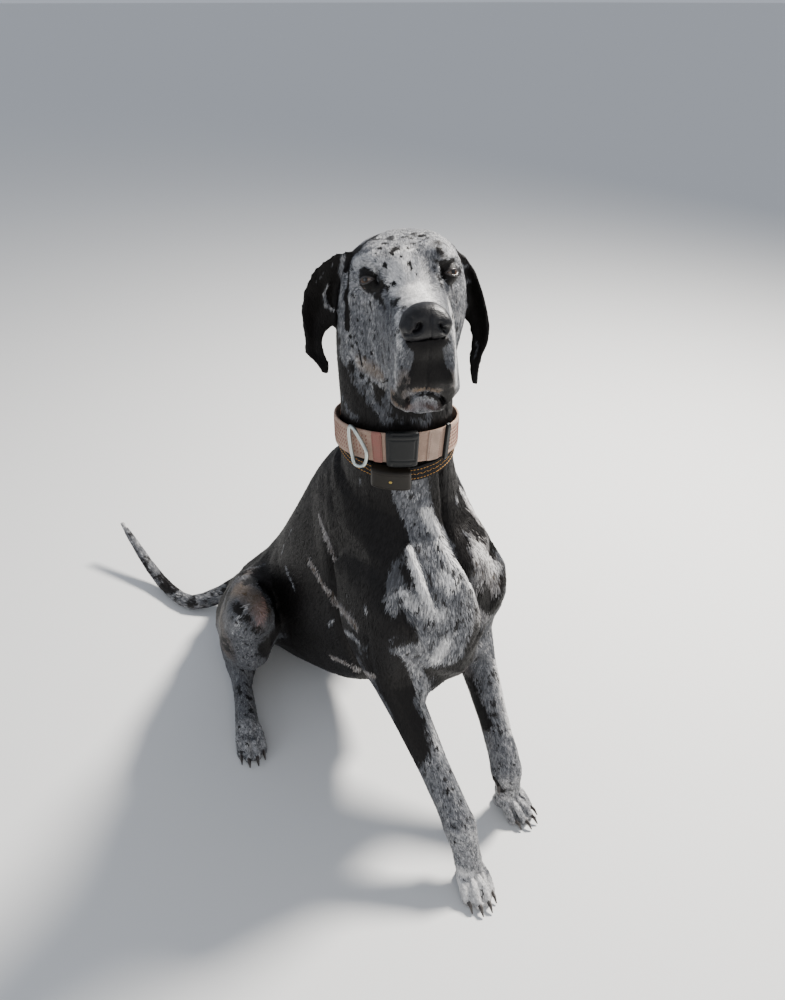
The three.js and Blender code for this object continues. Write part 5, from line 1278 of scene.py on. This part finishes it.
class Band:
    # turns are in degrees from straight ahead towards the dog's right, heights in mm along the axis
    def __init__(self, node, middle, axis, high, thick):
        self.middle = np.array(middle, float)
        self.axis = unit(np.array(axis, float))
        self.ahead = unit(np.array((0, -1, 0)) + self.axis * self.axis[1])
        self.right = -np.cross(self.axis, self.ahead)
        self.high = high
        self.thick = thick
        solid = BVHTree.FromObject(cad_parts[node], bpy.context.evaluated_depsgraph_get())
        self.rows = np.linspace(-high / 2 + 2, high / 2 - 2, 7)
        reach = np.zeros((360, 7))
        for turn in range(360):
            way = self.way(turn)
            for i, h in enumerate(self.rows):
                start = self.middle + self.axis * h + way * 250
                reach[turn, i] = 250 - solid.ray_cast(Vector(start * mm), Vector(-way))[3] / mm
        soft = np.zeros_like(reach)
        for k in range(-9, 10):
            soft += np.roll(reach, k, 0) * math.exp(-((k / 5) ** 2))
        self.reach = soft / sum(math.exp(-((k / 5) ** 2)) for k in range(-9, 10))
        steps = np.linalg.norm(np.diff(self.at(np.arange(361.0), np.zeros(361), 0), axis=0), axis=1)
        self.arc = np.concatenate([[0], np.cumsum(steps)])      # mm along the band for each degree

    def way(self, turn):
        angle = np.radians(turn)
        return np.multiply.outer(np.cos(angle), self.ahead) + np.multiply.outer(np.sin(angle), self.right)

    def at(self, turn, height, out):
        # the place this far out from the band's outer face
        turn = np.asarray(turn, float)
        height = np.asarray(height, float)
        low = np.floor(turn).astype(int)
        part = turn - low
        row = np.clip((height - self.rows[0]) / (self.rows[-1] - self.rows[0]), 0, 1) * 6
        left = np.minimum(row.astype(int), 5)
        side = row - left

        def reachAt(column):
            values = self.reach[column % 360]
            index = np.arange(len(left)) if left.ndim == 1 else None
            return values[index, left] * (1 - side) + values[index, left + 1] * side

        reach = reachAt(low) * (1 - part) + reachAt(low + 1) * part
        return self.middle + height[:, None] * self.axis + self.way(turn) * (reach + out)[:, None]

    def turnAlong(self, start, along):
        # the turn this many mm along the band from a turn
        total = self.arc[-1]
        where = (np.interp(np.asarray(start) % 360, np.arange(361), self.arc) + along) % total
        return np.interp(where, self.arc, np.arange(361))


bands = {name: Band(**sizes) for name, sizes in collars.items()}


def makeBand(name, band, material, slot, node):
    # a closed strip with rounded edges; "weave" carries mm along and across for the cloth
    high, thick = band.high / 2, band.thick
    profile = [(h, 0.0) for h in np.linspace(-high + 0.7, high - 0.7, 15)]
    profile += [(high - 0.2, -0.35), (high, -thick / 2), (high - 0.2, -thick + 0.35)]
    profile += [(h, -thick) for h in np.linspace(high - 0.7, -high + 0.7, 7)]
    profile += [(-high + 0.2, -thick + 0.35), (-high, -thick / 2), (-high + 0.2, -0.35)]
    turns = np.arange(360.0)
    rows = [band.at(turns, np.full(360, h), np.full(360, out)) for h, out in profile]
    faces = grid(len(rows) + 1, 360) % (len(rows) * 360)
    piece = meshPiece(name, np.concatenate(rows), faces, material)
    across = np.repeat([h + 60 * (out < -thick / 2) for h, out in profile], 360)
    along = np.tile(band.arc[:360], len(rows))
    addAttribute(piece.data, "weave", "FLOAT_VECTOR", np.stack([along, across, across * 0], 1))
    outwardKept(piece)
    finish(piece, slot, node)
    return piece


def outwardKept(piece):
    work = bmesh.new()
    work.from_mesh(piece.data)
    bmesh.ops.recalc_face_normals(work, faces=work.faces)
    work.to_mesh(piece.data)
    work.free()


def makeSlab(name, band, node, wide, high, base, deep, material, slot, dents=(), corner=0.16, bulge=0.0):
    # a plate that follows the band, rounded at its rim, with dents (across, up, half wide, half high, depth)
    place = np.array(middleOf(node)) / mm - band.middle
    turn = math.degrees(math.atan2(place @ band.right, place @ band.ahead))
    level = place @ band.axis
    columns, lines = 49, 49
    s = np.sin(np.linspace(-math.pi / 2, math.pi / 2, columns)) * 0.35 + np.linspace(-1, 1, columns) * 0.65
    t = np.sin(np.linspace(-math.pi / 2, math.pi / 2, lines)) * 0.35 + np.linspace(-1, 1, lines) * 0.65
    s, t = np.meshgrid(s, t)
    s, t = s.ravel(), t.ravel()
    pinch = 1 - corner * 0.5 * (np.abs(s) ** 10) * (np.abs(t) ** 10)      # rounded corners
    x, y = s * wide / 2 * pinch, t * high / 2 * pinch
    rim = np.clip(1 - np.abs(s) ** 14, 0, 1) ** 0.4 * np.clip(1 - np.abs(t) ** 14, 0, 1) ** 0.4
    front = base + deep * rim + bulge * (1 - s**2)
    for dx, dy, dw, dh, depth in dents:
        inside = np.clip((dw - np.abs(x - dx)) / 0.9 + 0.5, 0, 1) * np.clip((dh - np.abs(y - dy)) / 0.9 + 0.5, 0, 1)
        front = front - depth * inside
    back = np.full_like(front, base - 0.05)
    turns = band.turnAlong(turn, x)
    points = np.concatenate([band.at(turns, level + y, front), band.at(turns, level + y, back)])
    faces = grid(lines, columns, closed=False)
    total = columns * lines
    ring = [*range(columns), *range(2 * columns - 1, total, columns), *range(total - 2, total - columns - 1, -1)]
    ring += [*range(total - 2 * columns, 0, -columns)]
    walls = np.array([(a, b, b + total, a + total) for a, b in zip(ring, ring[1:] + ring[:1])])
    piece = meshPiece(name, points, np.concatenate([faces, faces[:, ::-1] + total, walls]), material)
    addAttribute(piece.data, "weave", "FLOAT_VECTOR", np.stack([np.tile(x, 2), np.tile(y, 2), np.tile(x * 0, 2)], 1))
    outwardKept(piece)
    finish(piece, slot, node)
    return turn, level


def clothMaterial(name, warp, weft, pitch, roughness=0.85, deep=0.45):
    # woven threads, from the mm along and across the band
    material, w = newMaterial(name, roughness, 0.25)
    spot = w.add("ShaderNodeSeparateXYZ")
    w.plug(w.read("weave", "Vector"), spot.inputs[0])
    along, across, _ = spot.outputs
    turns = 2 * math.pi / pitch
    bent = w.math("MULTIPLY_ADD", w.noise(w.place(), 240, 3), 0.5, across)
    threads = w.math("SINE", w.math("MULTIPLY", along, turns))
    rows = w.math("SINE", w.math("MULTIPLY", bent, turns * 1.25))
    woven = w.math("MULTIPLY", threads, rows)
    slant = w.math("SINE", w.math("MULTIPLY", w.math("ADD", w.math("MULTIPLY", across, 1.7), along), turns * 0.5))
    height = w.math("MULTIPLY_ADD", slant, 0.35, w.math("MULTIPLY_ADD", woven, 0.5, 0.5))
    worn = w.noise(w.place(), 55, 4)
    colour = w.mix(w.step(height, 0.1, 0.9), warp, weft)
    colour = w.mix(w.step(worn, 0.35, 0.75), colour, w.mix(0.5, colour, (0.24, 0.17, 0.13, 1)) if warp[0] > 0.1 else colour)
    w.colour(colour)
    w.bump(height, deep, 0.8)
    return material


def plasticMaterial(name, dark, lighter, roughness=0.42):
    material, w = newMaterial(name, roughness, 0.28)
    where = w.place()
    w.colour(w.mix(w.noise(where, 120, 3), dark, lighter))
    w.bump(w.noise(where, 2200, 2), 0.08, 0.5)
    return material


# One stitch on every point, turned along "along" with "out" up
def stitchTree():
    tree = bpy.data.node_groups.new("stitches", "GeometryNodeTree")
    sockets = tree.interface
    sockets.new_socket("Geometry", in_out="INPUT", socket_type="NodeSocketGeometry")
    for label in ("Length", "Thickness"):
        sockets.new_socket(label, in_out="INPUT", socket_type="NodeSocketFloat")
    sockets.new_socket("Thread", in_out="INPUT", socket_type="NodeSocketMaterial")
    sockets.new_socket("Geometry", in_out="OUTPUT", socket_type="NodeSocketGeometry")
    add = tree.nodes.new
    given = add("NodeGroupInput")
    result = add("NodeGroupOutput")
    bead = add("GeometryNodeMeshUVSphere")
    bead.inputs["Segments"].default_value = 8
    bead.inputs["Rings"].default_value = 5
    bead.inputs["Radius"].default_value = 0.5
    size = add("ShaderNodeCombineXYZ")
    turn = add("FunctionNodeAxesToRotation")
    turn.primary_axis = "Z"
    turn.secondary_axis = "X"
    place = add("GeometryNodeInstanceOnPoints")
    real = add("GeometryNodeRealizeInstances")
    dress = add("GeometryNodeSetMaterial")
    link = tree.links.new
    for name, socket in (("out", turn.inputs[0]), ("along", turn.inputs[1])):
        attribute = add("GeometryNodeInputNamedAttribute")
        attribute.data_type = "FLOAT_VECTOR"
        attribute.inputs["Name"].default_value = name
        link(attribute.outputs["Attribute"], socket)
    link(given.outputs["Length"], size.inputs["X"])
    link(given.outputs["Thickness"], size.inputs["Y"])
    link(given.outputs["Thickness"], size.inputs["Z"])
    link(given.outputs["Geometry"], place.inputs["Points"])
    link(bead.outputs["Mesh"], place.inputs["Instance"])
    link(turn.outputs["Rotation"], place.inputs["Rotation"])
    link(size.outputs["Vector"], place.inputs["Scale"])
    link(place.outputs["Instances"], real.inputs["Geometry"])
    link(real.outputs["Geometry"], dress.inputs["Geometry"])
    link(given.outputs["Thread"], dress.inputs["Material"])
    link(dress.outputs["Geometry"], result.inputs["Geometry"])
    return tree


stitching = stitchTree()


def sew(name, band, turns, heights, slant, length, thickness, thread, slot, out=0.2):
    # stitches at these turns and heights, slanted this many degrees from the band's length
    turns, heights = np.asarray(turns, float), np.asarray(heights, float)
    places = band.at(turns, heights, np.full(len(turns), out))
    away = band.way(turns)
    run = unit(np.cross(band.axis, away))
    angle = np.radians(slant)[:, None] if np.ndim(slant) else math.radians(slant)
    along = run * np.cos(angle) + band.axis * np.sin(angle)
    mesh = bpy.data.meshes.new(name)
    mesh.from_pydata([tuple(p) for p in places * mm], [], [])
    addAttribute(mesh, "out", "FLOAT_VECTOR", away)
    addAttribute(mesh, "along", "FLOAT_VECTOR", along)
    piece = bpy.data.objects.new(name, mesh)
    bpy.context.collection.objects.link(piece)
    modifier = piece.modifiers.new("stitches", "NODES")
    modifier.node_group = stitching
    values = {"Length": length * mm, "Thickness": thickness * mm, "Thread": thread}
    for item in stitching.interface.items_tree:
        if item.in_out == "INPUT" and item.name in values:
            modifier[item.identifier] = values[item.name]
    bake(piece)
    finish(piece, slot)


def makeCollars():
    wide, narrow = bands["wide"], bands["narrow"]
    webbing = clothMaterial("tan webbing", (0.34, 0.215, 0.155, 1), (0.60, 0.43, 0.34, 1), 1.5)
    keeper = clothMaterial("keeper webbing", (0.36, 0.24, 0.175, 1), (0.66, 0.50, 0.41, 1), 1.5)
    patch = clothMaterial("patch cloth", (0.26, 0.105, 0.085, 1), (0.44, 0.20, 0.165, 1), 1.1)
    strap = clothMaterial("black strap", (0.006, 0.006, 0.007, 1), (0.018, 0.018, 0.019, 1), 1.4)
    plastic = plasticMaterial("black plastic", (0.004, 0.0045, 0.0045, 1), (0.010, 0.011, 0.011, 1))
    shell = plasticMaterial("brown black shell", (0.007, 0.0052, 0.0032, 1), (0.016, 0.012, 0.007, 1), 0.5)
    makeBand("wide_collar", wide, webbing, "webbing", "collar_band")
    makeBand("narrow_strap", narrow, strap, "strap", "lower_band")
    bars = ((0, 17, 19, 0.7, 1.2), (0, -17, 19, 0.7, 1.2), (-17, 0, 0.8, 15, 1.4), (17, 0, 0.8, 15, 1.4), (0, 24.5, 14, 1.6, 1.6), (0, -24.5, 14, 1.6, 1.6))
    makeSlab("buckle", wide, "collar_buckle", 46, 57, 0.7, 8.0, plastic, "buckle", bars, bulge=0.8)
    makeSlab("keeper_loop", wide, "collar_loop", 22.5, 49, 0.4, 2.4, keeper, "webbing", bulge=0.3)
    makeSlab("slide_bar", wide, "collar_slide", 8, 57.5, 0.4, 4.8, plastic, "buckle", corner=0.3)
    makeSlab("patch", wide, "collar_patch", 15.5, 50, 0.4, 1.8, patch, "patch")
    turn, level = makeSlab(
        "receiver_box", narrow, "receiver", 57, 36, 0.5, 15.5, shell, "receiver",
        ((0, 12, 24, 0.5, 0.8), (0, -12, 24, 0.5, 0.8)), bulge=0.8,
    )
    lamp, w = newMaterial("yellow dot", 0.35)
    w.colour(w.mix(w.noise(w.place(), 900, 2), (0.30, 0.20, 0.03, 1), (0.55, 0.38, 0.06, 1)))
    dot = bandDot(narrow, turn, level, 16.6, 2.1)
    piece = meshPiece("receiver_dot", dot[0], dot[1], lamp)
    outward(piece)
    finish(piece, "receiver")

    thread, w = newMaterial("rose thread", 0.7, 0.2)
    w.colour(w.mix(w.noise(w.place(), 700, 2), (0.15, 0.052, 0.042, 1), (0.28, 0.11, 0.085, 1)))
    pale, w = newMaterial("pale thread", 0.7, 0.2)
    w.colour(w.mix(w.noise(w.place(), 700, 2), (0.42, 0.31, 0.24, 1), (0.66, 0.53, 0.44, 1)))
    gold, w = newMaterial("gold thread", 0.6, 0.3)
    w.colour(w.mix(w.noise(w.place(), 700, 2), (0.42, 0.17, 0.03, 1), (0.72, 0.40, 0.11, 1)))

    def free(turns):
        # leaves out what lies under the buckle, the loop and the patch
        return turns[~(((turns > 14) & (turns < 62)) | (turns < 13) | (turns > 348.5))]

    spots = free(wide.turnAlong(0, np.arange(0, wide.arc[-1], 6.2)))
    rows = np.array([-15, -9, -3, 3, 9, 15.0])
    turns = np.repeat(spots, 6)
    heights = np.tile(rows, len(spots))
    sew("woven_dashes", wide, turns, heights, 62, 4.6, 1.3, thread, "webbing", 0.1)
    for label, height in (("top", 21), ("bottom", -21)):
        spots = free(wide.turnAlong(0, np.arange(0, wide.arc[-1], 4.1)))
        sew(f"edge_stitches_{label}", wide, spots, np.full(len(spots), height), 0, 3.0, 0.8, pale, "webbing", 0.1)
    loopPlace = np.array(middleOf("collar_loop")) / mm - wide.middle
    loopTurn = math.degrees(math.atan2(loopPlace @ wide.right, loopPlace @ wide.ahead))
    across = np.concatenate([np.full(11, -8.5), np.full(11, 8.5)])
    up = np.tile(np.linspace(-19, 19, 11), 2)
    sew("keeper_stitches", wide, wide.turnAlong(loopTurn, across), up, 90, 2.7, 0.8, thread, "webbing", 3.0)
    patchPlace = np.array(middleOf("collar_patch")) / mm - wide.middle
    patchTurn = math.degrees(math.atan2(patchPlace @ wide.right, patchPlace @ wide.ahead))
    across = np.concatenate([np.full(11, -5.6), np.full(11, 5.6)])
    sew("patch_stitches", wide, wide.turnAlong(patchTurn, across), up, 90, 2.7, 0.8, thread, "patch", 2.3)

    spots = narrow.turnAlong(0, np.arange(0, narrow.arc[-1], 5.2))
    clear = np.abs((spots - turn + 180) % 360 - 180) > 16
    spots = spots[clear]
    for label, height in (("top", 8), ("bottom", -8)):
        sew(f"strap_stitches_{label}", narrow, spots, np.full(len(spots), height), 0, 4.0, 1.2, gold, "strap", 0.2)
    zig = np.where(np.arange(len(spots)) % 2 == 0, 32, -32)
    sew("strap_zigzag", narrow, spots, np.zeros(len(spots)), zig, 5.4, 0.9, gold, "strap", 0.15)


def bandDot(band, turn, level, out, radius):
    # a low button on the receiver's face
    ring = np.linspace(0, 2 * math.pi, 24, endpoint=False)
    rows = []
    for size, rise in ((1, 0), (1, 0.5), (0.7, 0.9), (0.02, 1.0)):
        turns = band.turnAlong(turn, np.cos(ring) * radius * size)
        rows.append(band.at(turns, level + np.sin(ring) * radius * size, np.full(24, out + rise * 0.8)))
    middle = band.at(np.array([turn % 360]), np.array([level]), np.array([out]))
    rows.insert(0, np.repeat(middle, 24, 0) + (rows[0] - middle) * 0.01)
    return np.concatenate(rows), grid(5, 24)


# Metal ring: an open D that hangs on the wide collar
ring = {
    "turn": 71, "height": -3, "wire": 2.9, "out": 6.6,
    "outline": ((-11, 27), (-13, 0), (-10, -26), (0, -31), (10, -25), (14, -4), (2, 22), (-5, 30)),
}


def makeRing():
    wide = bands["wide"]
    loop = np.array(ring["outline"], float)
    count = len(loop)
    curve = []
    for i in range(count):
        a, b, c, d = (loop[(i + k) % count] for k in (-1, 0, 1, 2))
        for t in np.linspace(0, 1, 14, endpoint=False):
            curve.append(0.5 * (2 * b + (c - a) * t + (2 * a - 5 * b + 4 * c - d) * t**2 + (3 * b - a - 3 * c + d) * t**3))
    curve = np.array(curve)
    turns = wide.turnAlong(ring["turn"], -curve[:, 0])
    middle = wide.at(turns, ring["height"] + curve[:, 1], np.full(len(curve), ring["out"]))
    run = unit(np.roll(middle, -1, 0) - np.roll(middle, 1, 0))
    out = unit(wide.way(turns))
    out = unit(out - run * np.sum(out * run, axis=1, keepdims=True))
    over = np.cross(run, out)
    angle = np.linspace(0, 2 * math.pi, 16, endpoint=False)
    tube = middle[:, None] + ring["wire"] * (np.cos(angle)[None, :, None] * out[:, None] + np.sin(angle)[None, :, None] * over[:, None])
    faces = grid(len(curve) + 1, 16) % (len(curve) * 16)
    metal, w = newMaterial("brushed metal", 0.3)
    w.shader.inputs["Metallic"].default_value = 1.0
    where = w.place()
    w.colour(w.mix(w.noise(where, 160, 4), (0.40, 0.44, 0.42, 1), (0.58, 0.63, 0.60, 1)))
    w.bump(w.noise(where, 1500, 2), 0.06, 0.4)
    piece = meshPiece("metal_ring", tube.reshape(-1, 3), faces, metal)
    outwardKept(piece)
    finish(piece, "ring", "collar_ring")


makeCollars()
makeRing()
print("collars made")
